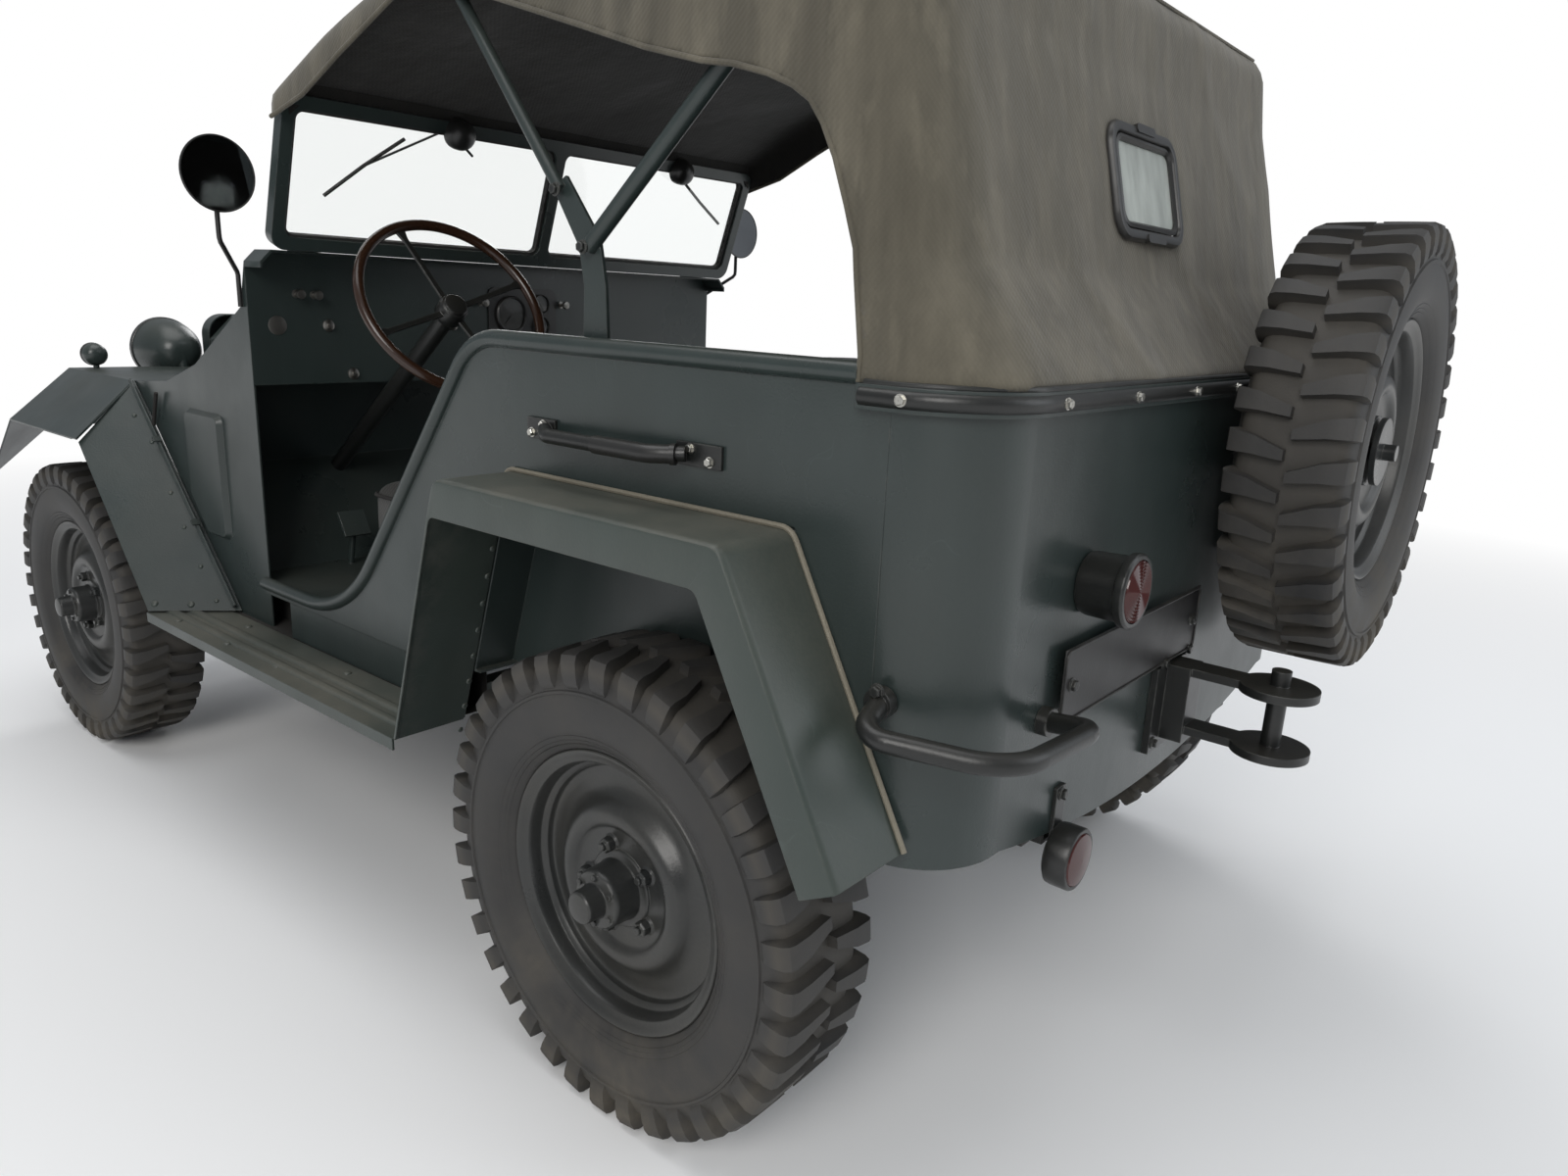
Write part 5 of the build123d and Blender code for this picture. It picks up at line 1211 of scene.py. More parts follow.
# %% Steering wheel
STEER_HUB = Vector((ahead(0.880), 0.430, 1.200))
STEER_AXIS = (STEER_HUB - Vector((ahead(1.720), 0.350, 0.640))).normalized()
STEER_X = (Vector((0, 1, 0)) - STEER_AXIS * STEER_AXIS.y).normalized()
STEER_RADIUS, STEER_STEPS = 0.1925, 96
FIRST_SPOKE = 17
STEER_BOSS = in_metres([
    (0.4, -34), (28, -34), (30, -30), (30, -4), (27, 4), (24, 6), (23, 10.5), (18, 12.5), (0.4, 13),
])
# Sections of a spoke: distance from the middle, half width, level
SPOKE_SECTIONS = in_metres([(18, 6, -12), (110, 5.2, -6.5), (165, 5.6, -3), (184, 10.5, -1)])
SPOKE_HALF = 0.0028

steer_matrix = axes_at(STEER_HUB, STEER_X, STEER_AXIS.cross(STEER_X), STEER_AXIS)
turns = [2 * pi * step / STEER_STEPS for step in range(STEER_STEPS)]
circle = [(STEER_RADIUS * cos(turn), STEER_RADIUS * sin(turn), 0) for turn in turns]
rim = sweep(circle, 0.0108, 16, closed=True)
spoke_shapes = [lathe(STEER_BOSS, 40)]
for quarter in range(4):
    turn = radians(FIRST_SPOKE + 90 * quarter)
    out, beside = Vector((cos(turn), sin(turn), 0)), Vector((-sin(turn), cos(turn), 0))
    points = []
    for reach, half, drop in SPOKE_SECTIONS:
        for side, level in ((-1, -SPOKE_HALF), (1, -SPOKE_HALF), (1, SPOKE_HALF), (-1, SPOKE_HALF)):
            points.append(out * reach + beside * side * half + Vector((0, 0, drop + level)))
    spoke_shapes.append((points, ring_faces(4, 4) + [(3, 2, 1, 0), (12, 13, 14, 15)]))
spoke_shapes = [placed(steer_matrix, shape) for shape in spoke_shapes]
rim = placed(steer_matrix, rim)
fit("steering_rim", [rim], brown_bakelite, "wheel_plastic", "steering_wheel", body="steering_wheel")
fit("steering_spokes", spoke_shapes, coupling_paint, "wheel_plastic", body="steering_wheel")
print("steering wheel done")

# %% [markdown]
# ## Lamps and mirrors
#
# All of them are turnings: a bucket or back, a bright rim, and a lens with a few rings.


# %% Lamps and mirrors
FORWARD, BACKWARD, UPWARD = (1, 0, 0), (-1, 0, 0), (0, 0, 1)
BUCKET = in_metres([
    (0.4, -4), (20, -3.5), (34, 1), (50, 14), (66, 36), (78, 62), (85, 90), (88.5, 120), (89, 128),
])
BUCKET_STEM = in_metres([(22, 0), (21, 6), (13, 12), (13, 60)])
LAMP_RIM = in_metres([(89, 124), (92, 126), (92.2, 138), (89.5, 144), (85, 145.5), (82, 143), (82, 134)])
LAMP_LENS = in_metres([(82.5, 138), (70, 142.5), (45, 145.5), (20, 146.2), (0.4, 146.4)])
LAMP_BOWL = in_metres([(80, 132), (66, 100), (45, 70), (18, 52), (0.4, 50)])
SIDE_LAMP = in_metres([(0.4, -1), (12, 0), (22, 5), (28, 14), (30, 26), (30, 38)])
SIDE_RIM = in_metres([(30, 34), (31.2, 36), (31.2, 43), (28, 45), (26, 43)])
SIDE_LENS = in_metres([(26.5, 40), (18, 47), (0.4, 49)])
SIDE_STEM = in_metres([(16, 0), (15, 4), (7.5, 8), (7.5, 50)])

buckets, rims, lenses, bowls = [], [], [], []
for side in (1, -1):
    large, large_foot = (ahead(2.275), side * 0.402, 1.022), (ahead(2.284), side * 0.402, 0.955)
    small, small_foot = (ahead(2.255), side * 0.630, 1.016), (ahead(2.280), side * 0.630, 0.955)
    buckets += [turned(large, FORWARD, BUCKET, 56), turned(large_foot, UPWARD, BUCKET_STEM, 24)]
    buckets += [turned(small, FORWARD, SIDE_LAMP, 36), turned(small_foot, UPWARD, SIDE_STEM, 20)]
    rims += [turned(large, FORWARD, LAMP_RIM, 56), turned(small, FORWARD, SIDE_RIM, 36)]
    lenses += [turned(large, FORWARD, LAMP_LENS, 56), turned(small, FORWARD, SIDE_LENS, 36)]
    bowls.append(turned(large, FORWARD, LAMP_BOWL))
fit("lamp_buckets", buckets, body_paint, "body_paint", "front_lamps")
fit("lamp_rims", rims, coupling_paint, "body_paint")
fit("lamp_lenses", lenses, clear_glass, "lamp_plastic")
fit("lamp_reflectors", bowls, chrome, "lamp_plastic")

print("front lamps done")

# %% [markdown]
# At the rear one round lamp looks out of the panel, with a lens of moulded rings, and a small one
# hangs on a strap below the tub. The rings are one zigzag profile, made in a loop.

# %% Rear lamps
TAIL_PLACE, HANGING_PLACE = (ahead(-0.5103), 0.377, 0.889), (ahead(-0.5150), 0.390, 0.486)
TAIL_CUP = in_metres([
    (40, 0), (43, 2), (45, 10), (46, 50), (47.5, 56), (51, 58), (52, 62), (52, 69), (49, 72), (44, 72),
])
HANGING_CUP = in_metres([(0.4, 0), (40, 0), (46, 4), (47, 10), (47, 36), (45, 39), (40, 39)])
HANGING_LENS = in_metres([(41, 36), (38, 41), (20, 44), (0.4, 45)])
TAIL_LENS = [(0.045, 0.066)]
for step in range(9):
    radius = 0.042 - 0.0046 * step
    TAIL_LENS += [(radius, 0.0735 + 0.0004 * step), (radius - 0.0023, 0.0718 + 0.0004 * step)]
TAIL_LENS.append((0.0004, 0.077))
bracket_plane = plane_at((ahead(-0.5133), 0.390, 0.538), (0, 1, 0), UPWARD)
bracket = pane(bracket_plane, 0.030, 0.104, 0.004, -0.003, 0.006)
cups = [turned(TAIL_PLACE, BACKWARD, TAIL_CUP), turned(HANGING_PLACE, BACKWARD, HANGING_CUP), bracket]
fit("rear_lamp_cups", cups, coupling_paint, "lamp_plastic", "rear_lamps")
lenses = [turned(TAIL_PLACE, BACKWARD, TAIL_LENS), turned(HANGING_PLACE, BACKWARD, HANGING_LENS)]
fit("rear_lamp_lenses", lenses, red_lens, "lamp_plastic")

print("rear lamps done")

# %% [markdown]
# A mirror is a shallow dish with a rolled rim on a bent stalk. Its glass is a disc of its own, so that
# it can be bright metal in a black back.

# %% Mirrors
MIRROR_BACK = in_metres([
    (67.5, 1.5), (68.5, -0.2), (70.5, 0.4), (71, 3), (70, 5.5), (62, 11), (45, 14.5), (20, 15.8), (0.4, 16),
])
MIRROR_KNOB = in_metres([(10, 0), (10, 8), (7, 11), (0.4, 11)])
MIRROR_GLASS = in_metres([(67.8, 1.2), (40, 0.4), (0.4, 0)])
STALK = in_metres([
    (1250, 693.3, 1180), (1250, 693.3, 1243), (1247.5, 695.7, 1250), (1186, 751, 1305),
    (1181.5, 754.5, 1312.5), (1181, 755, 1322), (1181, 755, 1430),
])
mirror_backs, mirror_glasses = [], []
for side in (1, -1):
    place = (ahead(1.160), side * 0.755, 1.430)
    mirror_backs += [
        turned(place, FORWARD, MIRROR_BACK, 56),
        turned((ahead(1.174), side * 0.755, 1.430), FORWARD, MIRROR_KNOB, 20),
        sweep([(ahead(x), side * y, z) for x, y, z in STALK], 0.0048),
    ]
    mirror_glasses.append(turned(place, FORWARD, MIRROR_GLASS, 56))
fit("mirror_bodies", mirror_backs, black_plastic, "body_paint", "mirrors")
fit("mirror_glasses", mirror_glasses, mirror_glass, "body_paint")
print("lamps and mirrors done")

# %% [markdown]
# ## Rear fenders
#
# A rear fender is a bent sheet with a deep lip that turns down at its outer edge, and the seam along
# the tub is sewn up with beige piping. The outer line and the lip's lower line are rounded alike, so
# every station has a section from the seam to the lip. The front leg has no lip, only a narrow edge:
# there the lip's line runs close to the outer line.


# %% Rear fenders
def mitred(points, distance):
    """A side-view line moved to its right by distance, with mitred corners."""
    runs = []
    for (x0, z0), (x1, z1) in zip(points, points[1:]):
        size = hypot(x1 - x0, z1 - z0)
        runs.append(((z1 - z0) / size, -(x1 - x0) / size))
    moved = []
    for index, (x, z) in enumerate(points):
        before, after = runs[max(index - 1, 0)], runs[min(index, len(runs) - 1)]
        scale = distance / (1 + before[0] * after[0] + before[1] * after[1])
        moved.append((x + (before[0] + after[0]) * scale, z + (before[1] + after[1]) * scale))
    return moved


def softened(points, reach, steps=6):
    """The line with each inner corner turned into a short curve."""
    line = [Vector(points[0])]
    for before, corner, after in zip(points, points[1:], points[2:]):
        before, corner, after = Vector(before), Vector(corner), Vector(after)
        start = corner + (before - corner).normalized() * reach
        end = corner + (after - corner).normalized() * reach
        for step in range(steps + 1):
            share = step / steps
            line.append(start.lerp(corner, share).lerp(corner.lerp(end, share), share))
    return line + [Vector(points[-1])]


print("line helpers ready")

# %% [markdown]
# The fender's section runs from the seam along the sheet and down the lip. Each of its points says how
# far down the lip it lies, and so how far between the outer line and the lip's line it is placed.

# %% Fender panels and piping
LIP_DEPTH, FENDER_SHEET = 0.062, 0.0032
FENDER_LINE = in_metres([(489, 490), (341, 960), (-247, 960), (-450, 581)])
FENDER_SECTION = in_metres([
    (700.3, 0), (830, 0), (838, 1.2), (841.2, 4), (842, 8), (842, 60), (841.2, 62), (839.6, 62), (838.8, 60),
    (838.8, 9), (837, 5.2), (833, 3.2), (700.3, 3.2), (700.3, 0),
])
outer_line = softened(FENDER_LINE, 0.016)
lip_line = softened([(0.4840, 0.490), (0.3555, 0.898)] + mitred(FENDER_LINE, -LIP_DEPTH)[2:], 0.012)
seam_line = softened(mitred(FENDER_LINE, FENDER_SHEET), 0.018)[3:]
fender_shapes, fender_piping = [], []
for side in (1, -1):
    points = []
    for y, depth in FENDER_SECTION:
        for outer, lip in zip(outer_line, lip_line):
            at = outer.lerp(lip, depth / LIP_DEPTH)
            points.append(Vector((ahead(at.x), side * y, at.y)))
    count = len(outer_line)
    faces = ring_faces(len(FENDER_SECTION), count, closed=False)
    for end in (0, count - 1):
        faces.append(tuple(row * count + end for row in range(len(FENDER_SECTION) - 1)))
    fender_shapes.append((points, [face[::side] for face in faces]))
    seam = [(ahead(at.x), side * 0.7042, at.y) for at in seam_line]
    fender_piping.append(sweep(spaced(seam, 0.02), 0.0040, 8))
fender_piece = fit("rear_fender_panels", fender_shapes, fender_paint, "body_paint", "rear_fenders")
fit("fender_piping", fender_piping, beige_piping, "body_paint")
print("fenders", len(fender_piece.data.polygons), "faces")

# %% [markdown]
# ## Bolts and rivets
#
# The bright zinc bolts are what the eye catches first on the dark paint. Each table row is a station,
# a half width, a level, the way the head points, and whether it comes on both sides.

# %% Bolts
BRIGHT = [
    (-0.4070, 0.7165, 1.1395, (-0.17, 0.98, 0), True), (-0.5282, 0.5400, 1.1395, (-1, 0, 0), True),
    (-0.5282, 0.3220, 1.1395, (-1, 0, 0), True), (-0.5282, 0.0950, 1.1395, (-1, 0, 0), True),
    (0.2470, 0.7053, 1.0425, (0, 1, 0), True), (0.2745, 0.7053, 1.0285, (0, 1, 0), True),
    (-0.0670, 0.7053, 1.0435, (0, 1, 0), True), (-0.1035, 0.7053, 1.0290, (0, 1, 0), True),
]
DARK = [
    (0.2640, 0.6640, 1.3880, (0, 1, 0), True), (0.1990, 0.6670, 1.3060, (0, 1, 0), True),
    (-0.5263, 0.4740, 0.7130, (-1, 0, 0), False), (-0.4040, 0.7165, 0.7880, (0, 1, 0), False),
    (-0.5225, 0.0540, 0.6980, (-1, 0, 0), True), (-0.5225, 0.0540, 0.5570, (-1, 0, 0), True),
    (-0.5243, 0.4200, 0.7530, (-1, 0, 0), False), (-0.5243, -0.0440, 0.7530, (-1, 0, 0), False),
    (-0.5163, 0.3900, 0.5780, (-1, 0, 0), False),
    (2.5003, 0.5200, 0.5550, (1, 0, 0), True), (2.5503, 0.4300, 0.5650, (1, 0, 0), True),
    (2.5503, 0.3300, 0.5650, (1, 0, 0), True), (2.5503, 0.4300, 0.4950, (1, 0, 0), True),
    (2.5503, 0.3300, 0.4950, (1, 0, 0), True),
]
BOLT_TURN = 0.7


def both_sides(rows):
    """Places and axes, mirrored where a row asks for it."""
    places = []
    for station, y, z, axis, mirrored in rows:
        places.append(((ahead(station), y, z), axis))
        if mirrored:
            places.append(((ahead(station), -y, z), (axis[0], -axis[1], axis[2])))
    return places


for name, rows, finish, across, height in (
    ("bright_bolts", BRIGHT, zinc, 0.0104, 0.0055), ("dark_bolts", DARK, coupling_paint, 0.0140, 0.0070),
):
    heads = [hex_bolt(*at, across, height, BOLT_TURN * index) for index, at in enumerate(both_sides(rows))]
    fit(name, heads, finish, "body_paint", smooth=25)


print("bolts on")

# %% [markdown]
# Rivets are low round heads: a row down each fender's front leg, some along the sloping wing plate,
# whose table holds station, half width, level and radius, and a few flat ones on the running boards.


# %% Rivets
def rivet(place, axis, radius=0.0055, height=0.0028):
    """A low round head."""
    profile = [(radius, 0.0), (radius * 0.92, height * 0.5), (radius * 0.6, height * 0.9), (0.0003, height)]
    return turned(place, axis, profile, 14)


BOARD_TOP = 0.490
WING_RIVETS = in_metres([
    (1804, 719, 902, 5.5), (1739, 710, 844, 5.5), (1638, 718, 735, 5.5), (1570, 722, 663, 5.5),
    (1492, 725, 583, 5.5), (1424, 725, 514, 5.5), (1506.8, 826, 508, 8.5), (1455.4, 768, 506, 8.5),
])
BOARD_RIVETS = in_metres([
    (1173, 814), (970, 807), (652, 799), (1400, 820), (540, 730), (840, 730), (1260, 730),
])
rivets = []
for side in (1, -1):
    for step in range(9):
        at = Vector((0.475, 0.478)).lerp(Vector((0.350, 0.880)), step / 8)
        rivets.append(rivet((ahead(at.x - 0.004), side * 0.722, at.y), (-0.95, 0, -0.3)))
    for x, y, z, radius in WING_RIVETS:
        rivets.append(rivet((ahead(x), side * y, z), (-0.61, side * 0.52, 0.60), radius, radius * 0.6))
    for x, y in BOARD_RIVETS:
        rivets.append(rivet((ahead(x), side * y, BOARD_TOP), UPWARD, 0.0085, 0.0036))
fit("rivets", rivets, fender_paint, "body_paint", smooth=50)
print("rivets on", len(rivets))

# %% [markdown]
# ## Trim of sheet metal
#
# The running boards have long pressed ribs, and the wing's rear plate has a folded flange along the
# cowl. Under the door the tub's side goes down to the board. These are flat or nearly flat strips, so
# one function makes them all: a rib of a few rows of points, which a height of a millimetre turns into
# a plain panel. A small corner closes the fold of each front wing.


# %% Ribs and flanges
RIB_SECTION = ((-1, 0.0), (-0.8, 0.75), (-0.45, 1.0), (0.45, 1.0), (0.8, 0.75), (1, 0.0))
RIB_END = 0.012


def rib(start, end, across, wide, tall):
    """A long pressed rib with rounded shoulders and sloping ends."""
    start, end, across = Vector(start), Vector(end), Vector(across).normalized()
    run = (end - start).normalized()
    up = run.cross(across)
    up = up if up.z >= 0 else -up
    points = []
    for at, scale in ((start, 0.0), (start + run * RIB_END, 1.0), (end - run * RIB_END, 1.0), (end, 0.0)):
        for reach, level in RIB_SECTION:
            points.append(at + across * reach * wide / 2 + up * (level * tall * scale + 0.0002))
    return points, ring_faces(4, 6, closed=False)


def side_rib(rear, front, y, z, *section):
    """A rib that runs along the car at a half width and a level."""
    return rib((ahead(rear), y, z), (ahead(front), y, z), *section)


board_ribs = []
for y in (0.765, 0.800, -0.765, -0.800):
    board_ribs.append(side_rib(0.520, 1.490, y, BOARD_TOP, (0, 1, 0), 0.022, 0.0055))
fit("running_board_ribs", board_ribs, fender_paint, "body_paint", smooth=60)

FLANGE_FOOT, FLANGE_TOP = Vector((1.382, 0.503)), Vector((1.850, 0.978))
flange_shapes, painted_shade_shapes, sill_shapes, corner_shapes = [], [], [], []
for side in (1, -1):
    for shift, radius in ((0.0045, 0.0042), (0.0105, 0.0030)):
        ends = [at + Vector((-0.7, 0.7)) * shift for at in (FLANGE_FOOT, FLANGE_TOP)]
        line = [(ahead(at.x), side * 0.7052, at.y) for at in ends]
        flange_shapes.append(sweep(spaced(line, 0.05), radius, 8))
    for share in (0.35, 0.72):
        at = FLANGE_FOOT.lerp(FLANGE_TOP, share) + Vector((-0.010, 0.010))
        clip = plane_at((ahead(at.x), side * 0.7090, at.y), (0.70, 0, 0.70), (0, 1, 0))
        flange_shapes.append(pane(clip, 0.016, 0.020, 0.003, -0.002, 0.004))
    # A near-black tube beside the top of the flange stands for the shade in a slot: painted shade.
    slot = [(ahead(1.7430), side * 0.7006, 0.884), (ahead(1.7090), side * 0.7006, 0.964)]
    painted_shade_shapes.append(sweep(slot, 0.0050, 6))
    # Behind the sill: an inner wall and a closing plate, so that no light falls through beside the board
    # Both are near black, as painted shade.
    painted_shade_shapes.append(side_rib(0.5050, 1.5200, side * 0.6400, 0.530, UPWARD, 0.110, 0.0012))
    painted_shade_shapes.append(side_rib(0.5050, 1.5200, side * 0.6710, 0.4870, (0, 1, 0), 0.068, 0.0012))
    sill_shapes.append(side_rib(0.5050, 1.1280, side * 0.6960, 0.545, UPWARD, 0.112, 0.0012))
    half_sheet = Vector((0, side * 0.65, 0.76)) * 0.0014
    corner = [(1.866, 0.6904, 0.980), (1.830, 0.8425, 0.850), (1.868, 0.8425, 0.850)]
    corner = [Vector((ahead(x), side * y, z)) for x, y, z in corner]
    corner_shapes.append(([at + half_sheet for at in corner] + [at - half_sheet for at in corner],
                          [(0, 1, 2), (5, 4, 3), (0, 3, 4, 1), (1, 4, 5, 2), (2, 5, 3, 0)]))
fit("wing_flanges", flange_shapes, body_paint, "body_paint")
fit("dark_recesses", painted_shade_shapes, dark_cloth_and_painted_shade, "body_paint")
fit("sill_panels", sill_shapes, body_paint, "body_paint")
fit("wing_corners", corner_shapes, body_paint, "body_paint")
print("ribs, flanges and sill panels on")

# %% [markdown]
# The canvas is held down by a flat band and a half-round bar that run round the tub's rear. The same
# line, wider by a few millimetres, serves for both. The grab handles have a dark sleeve that thickens
# at its rear end, and the blank number plate has a plain rim.

# %% Clamp bar, handle sleeves and plate rim
CLAMP_LEVEL, CORNER_STATION, CORNER_HALF, CORNER_RADIUS = 1.1395, -0.385, 0.575, 0.1255


def round_the_tub(first, grow):
    """Station and half width of a bar that runs round the tub's rear, from its left end to its right one."""
    line = [first]
    for step in range(13):
        turn = pi / 2 * step / 12
        radius = CORNER_RADIUS + grow
        line.append((CORNER_STATION - radius * sin(turn), CORNER_HALF + radius * cos(turn)))
    return line + [(x, -y) for x, y in line[::-1]]


band_route = []
for x, y in round_the_tub((-0.3500, 0.7005), 0.0):
    behind = 0.006 if abs(y) < 0.60 else 0.0
    band_route.append((ahead(x - behind), y * (1 + 0.006 / 0.7), 1.1555))
bar_route = [(ahead(x), y, CLAMP_LEVEL) for x, y in round_the_tub((-0.3460, 0.7065), 0.006)]
clamp = [sweep(spaced(band_route, 0.02), 0.0050, 10), sweep(spaced(bar_route, 0.02), 0.0122, 14)]
fit("clamp_bar", clamp, coupling_paint, "body_paint")

GRIP = in_metres([(85, 742, 1034), (-12, 742, 1034), (-26, 739.5, 1034.3), (-55, 723, 1035.5)])
sleeves = []
for side in (1, -1):
    grip = [Vector((ahead(x), side * y, z)) for x, y, z in GRIP]
    sleeves.append(sweep(spaced(grip, 0.012), 0.0132, 20))
    sleeves.append(sweep([grip[3].lerp(grip[2], 0.16), grip[3].lerp(grip[2], -0.06)], 0.0148, 20))
fit("handle_sleeves", sleeves, black_plastic, "body_paint")

plate_plane = plane_at((ahead(-0.5240), 0.188, 0.753), (0, -1, 0), UPWARD)
PLATE_EDGE = in_metres([(3, 0), (3, 2.2), (1.5, 3.2), (-0.5, 2.2), (-0.5, 0), (3, 0)])
fit("number_plate_rim", [moulding(plate_plane, 0.512, 0.102, 0.010, PLATE_EDGE)], plate_paint, "plate_paint")
print("trim on")

# %% [markdown]
# ## Windshield, wipers and dash
#
# Both panes sit in black rubber. The wiper motors are domes under the frame's top bar, and each wiper
# is an arm with a blade that sags in the middle. All points are given on the leaning windshield.

# %% Windshield and wipers
SHIELD_LEAN = radians(19)
SHIELD_UP = Vector((-sin(SHIELD_LEAN), 0, cos(SHIELD_LEAN)))
SHIELD_OUT = Vector((cos(SHIELD_LEAN), 0, sin(SHIELD_LEAN)))
SHIELD_MIDDLE = Vector((ahead(1.1135), 0, 1.443))
RUBBER_EDGE = in_metres([(4.5, -2), (4.5, 4), (2, 6.2), (-3, 5), (-4.5, 0), (-4.5, -2), (4.5, -2)])
MOTOR_DOME = in_metres([(30, -2), (33, 2), (33, 10), (31, 24), (26, 34), (17, 41), (7, 44), (0.4, 44.5)])
MOTOR_LEVEL = 0.128


def on_shield(across, up, out=0.0):
    """A point of the windshield from its middle."""
    return SHIELD_MIDDLE + Vector((0, across, 0)) + SHIELD_UP * up + SHIELD_OUT * out


rubber_shapes = []
for side in (1, -1):
    for face in (1, -1):
        base = plane_at(on_shield(side * 0.3295, 0.0, face * 0.0030), (0, face, 0), SHIELD_UP)
        rubber_shapes.append(moulding(base, 0.626, 0.244, 0.018, RUBBER_EDGE))
fit("windshield_rubber", rubber_shapes, black_rubber, "pane_glass")

wiper_shapes, blade_shapes = [], []
for across, ends in ((0.286, ((0.558, -0.040), (0.395, 0.095))), (-0.390, ((-0.434, 0.100), (-0.612, 0.0)))):
    (a, a_up), (b, b_up) = ends
    pivot = on_shield(across, MOTOR_LEVEL, 0.024)
    middle = on_shield((a + b) / 2, (a_up + b_up) / 2, 0.018)
    wiper_shapes += [
        turned(on_shield(across, MOTOR_LEVEL, -0.008), -SHIELD_OUT, MOTOR_DOME, 32),
        sweep([on_shield(across, MOTOR_LEVEL, -0.010), pivot], 0.0050),
        sweep([pivot, middle], 0.0026, 8),
        sweep([on_shield(across, 0.112, -0.030), on_shield(across - 0.030, 0.090, -0.034)], 0.0030, 8),
    ]
    blade_shapes.append(sweep([on_shield(a, a_up, 0.012), middle, on_shield(b, b_up, 0.012)], 0.0042, 6))
fit("wiper_motors", wiper_shapes, black_plastic, "body_paint")
fit("wiper_blades", blade_shapes, rubber, "body_paint")
print("windshield done")

# %% [markdown]
# The dash has plain knobs, switches and dials without any writing. Each is a small turning, so one
# profile is written once and stands at every place in its list.

# %% Dash
DASH_X = ahead(1.2320)
KNOB = in_metres([(9, 0), (9, 2), (4, 3), (4, 16), (9.5, 18), (10.5, 22), (9, 26), (0.4, 27)])
SWITCH = in_metres([(13, 0), (13, 3), (10, 4.5), (6, 6), (6, 12), (0.4, 13)])
SPOT = in_metres([(20, 0), (20, 1.6), (18, 2.2), (0.4, 2.2)])
KNOB_PLACES = [(0.583, 1.210), (0.544, 1.209), (0.120, 1.205), (-0.130, 1.205)]
SWITCH_PLACES = [(0.515, 1.145), (0.463, 1.040), (0.200, 1.150)]


def on_dash(y, z, profile):
    """A turning that stands on the dash and faces the driver."""
    return turned((DASH_X, y, z), BACKWARD, profile, 28)


knobs = []
for profile, spots in ((KNOB, KNOB_PLACES), (SWITCH, SWITCH_PLACES), (SPOT, [(0.628, 1.144)])):
    knobs += [on_dash(y, z, profile) for y, z in spots]
fit("dash_knobs", knobs, bare_steel, "body_paint")

panel = plane_at((DASH_X, -0.007, 1.178), (0, -1, 0), UPWARD)
dial_shapes, dial_glass = [pane(panel, 0.210, 0.130, 0.020, 0.0, 0.004)], []
for y, z, radius in ((0.032, 1.178, 0.046), (-0.060, 1.205, 0.025), (-0.060, 1.150, 0.025)):
    inner, needle_x = radius * 0.88, DASH_X - 0.0072
    bezel = [
        (radius, 0.004), (radius, 0.010), (radius * 0.95, 0.013), (inner, 0.0125), (radius * 0.86, 0.009),
    ]
    needle = [(needle_x, y, z), (needle_x, y + radius * 0.45, z - radius * 0.5)]
    face = [(inner, 0.0060), (0.0004, 0.0060)]
    dial_shapes += [on_dash(y, z, bezel), on_dash(y, z, face), sweep(needle, 0.0008, 5)]
    dial_glass.append(on_dash(y, z, [(inner, 0.0090), (0.0004, 0.0096)]))
fit("dash_dials", dial_shapes, black_plastic, "body_paint")
fit("dash_dial_glass", dial_glass, clear_glass, "pane_glass")
print("dash done")

# %% [markdown]
# ## Studio
#
# A pale floor that fades to plain white far from the car, a world that only the camera and rays
# through glass see as white, and four large soft lights: a key from the car's left, a fill from the
# right, a broad light overhead and a rim light from the front. The real picture has an overcast,
# side-lit look, so the key stays large. Their powers are low enough that a colour renders about as
# it is written.

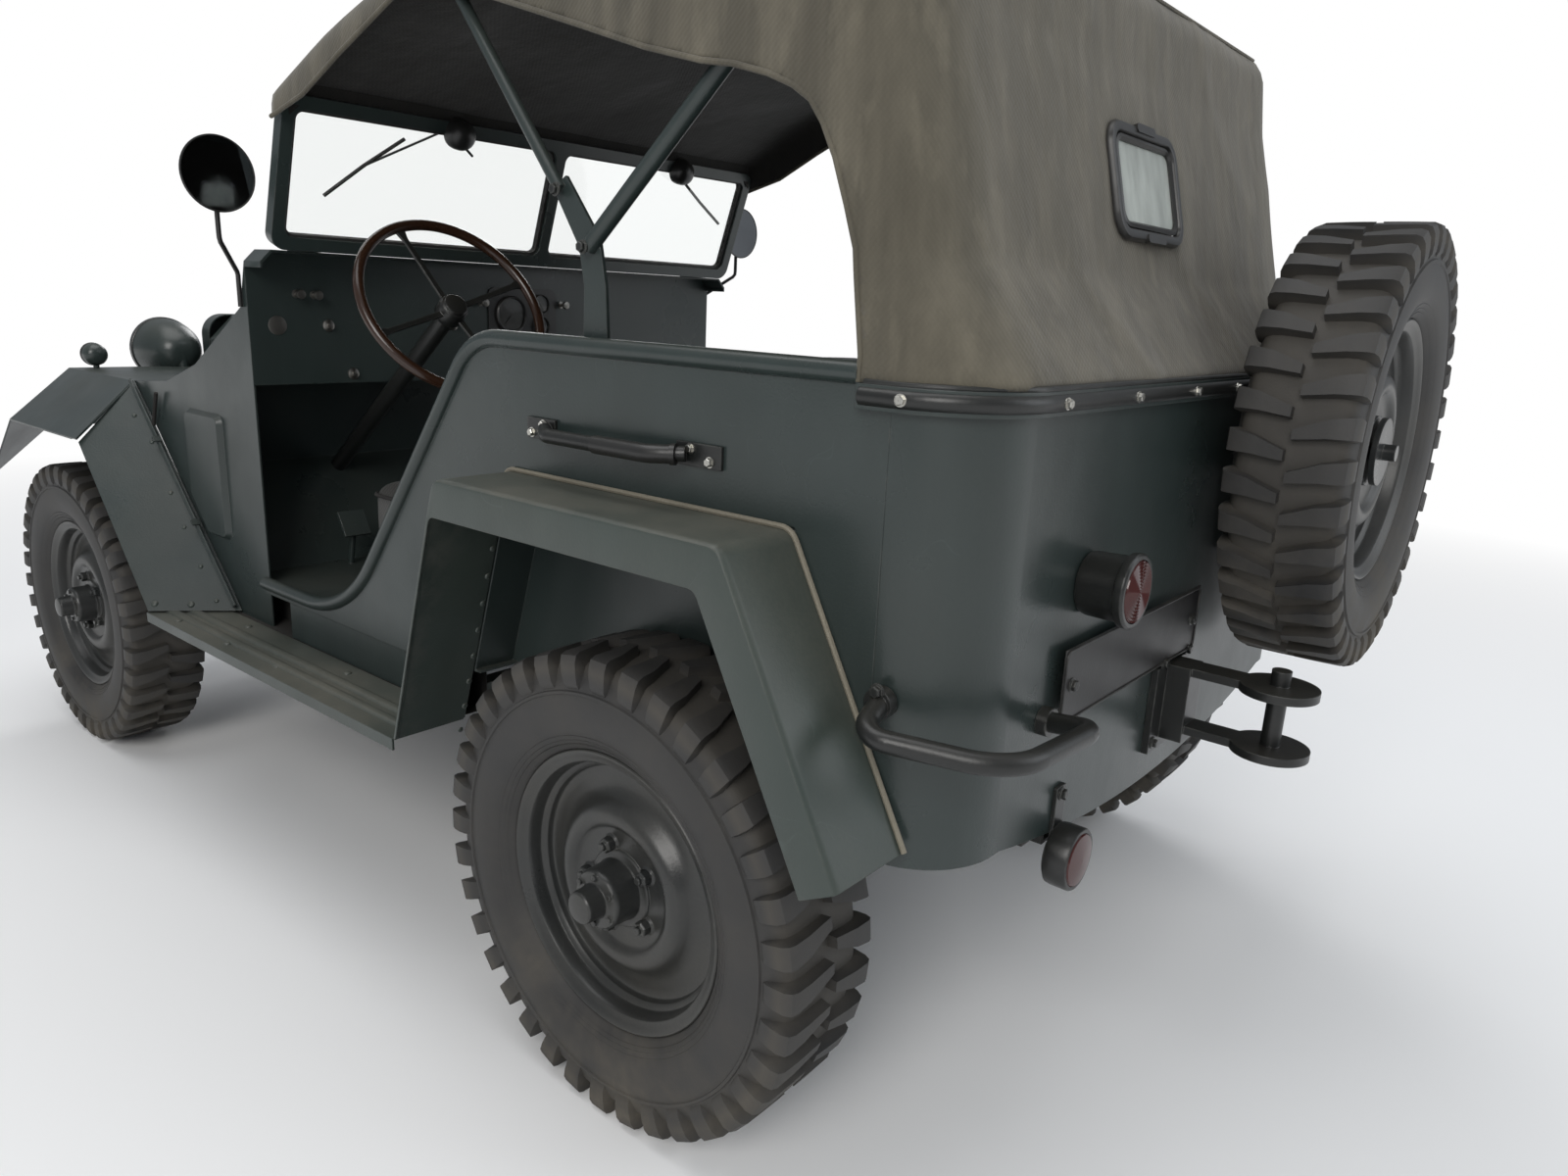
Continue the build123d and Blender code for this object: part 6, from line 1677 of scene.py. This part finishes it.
# %% Floor and light
FADE_FROM, FADE_TO, FLOOR_HALF = 2.6, 6.5, 30
floor_material, tree, shader = base_material("studio floor")
feed(tree, shader, {"Base Color": (0.93, 0.93, 0.93), "Roughness": 0.75})
place = add_node(tree, "ShaderNodeNewGeometry").outputs["Position"]
far = remap(tree, vector_maths(tree, "LENGTH", place)["Value"], FADE_FROM, FADE_TO)
glow = add_node(tree, "ShaderNodeEmission", {"Color": (1, 1, 1, 1), "Strength": 1.0})
faded = add_node(tree, "ShaderNodeMixShader", {0: far, 1: shader.outputs[0], 2: glow.outputs[0]})
tree.links.new(faded.outputs[0], tree.nodes["Material Output"].inputs["Surface"])
corners = [(x * FLOOR_HALF, y * FLOOR_HALF, 0) for x, y in ((-1, -1), (1, -1), (1, 1), (-1, 1))]
floor = new_piece("floor", corners, [(0, 1, 2, 3)], floor_material)

world = bpy.data.worlds.new("studio")
scene.world = world
world.use_nodes = True
tree = world.node_tree
tree.nodes.clear()
path = add_node(tree, "ShaderNodeLightPath").outputs
seen = maths(tree, "MAXIMUM", path["Is Camera Ray"], path["Is Transmission Ray"])
white = add_node(tree, "ShaderNodeBackground", {"Color": (1, 1, 1, 1), "Strength": 1.0})
soft = add_node(tree, "ShaderNodeBackground", {"Color": (0.88, 0.93, 1.0, 1), "Strength": 0.34})
blend = add_node(tree, "ShaderNodeMixShader", {0: seen, 1: soft.outputs[0], 2: white.outputs[0]})
add_node(tree, "ShaderNodeOutputWorld", {"Surface": blend.outputs[0]})


def area_light(name, place, aim, size, power, colour):
    """A square soft light that points at aim."""
    data = bpy.data.lights.new(name, "AREA")
    data.size = size
    data.energy = power
    data.color = colour
    light = bpy.data.objects.new(name, data)
    light.location = place
    light.rotation_euler = (Vector(aim) - Vector(place)).to_track_quat("-Z", "Y").to_euler()
    scene.collection.objects.link(light)
    return light


area_light("key", (-3.5, 6.0, 4.5), (0, 0, 0.8), 3.5, 265, (1.0, 0.98, 0.95))
area_light("fill", (-6.0, -3.0, 3.5), (-0.5, 0, 0.8), 4.0, 95, (0.92, 0.96, 1.0))
area_light("overhead", (0.5, 0.5, 6.0), (0, 0, 0.5), 5.0, 165, (1.0, 1.0, 1.0))
area_light("rim", (5.0, -4.5, 4.0), (0, 0, 1.0), 3.0, 120, (1.0, 1.0, 1.0))
scene.view_settings.view_transform = "Standard"
print("studio ready")
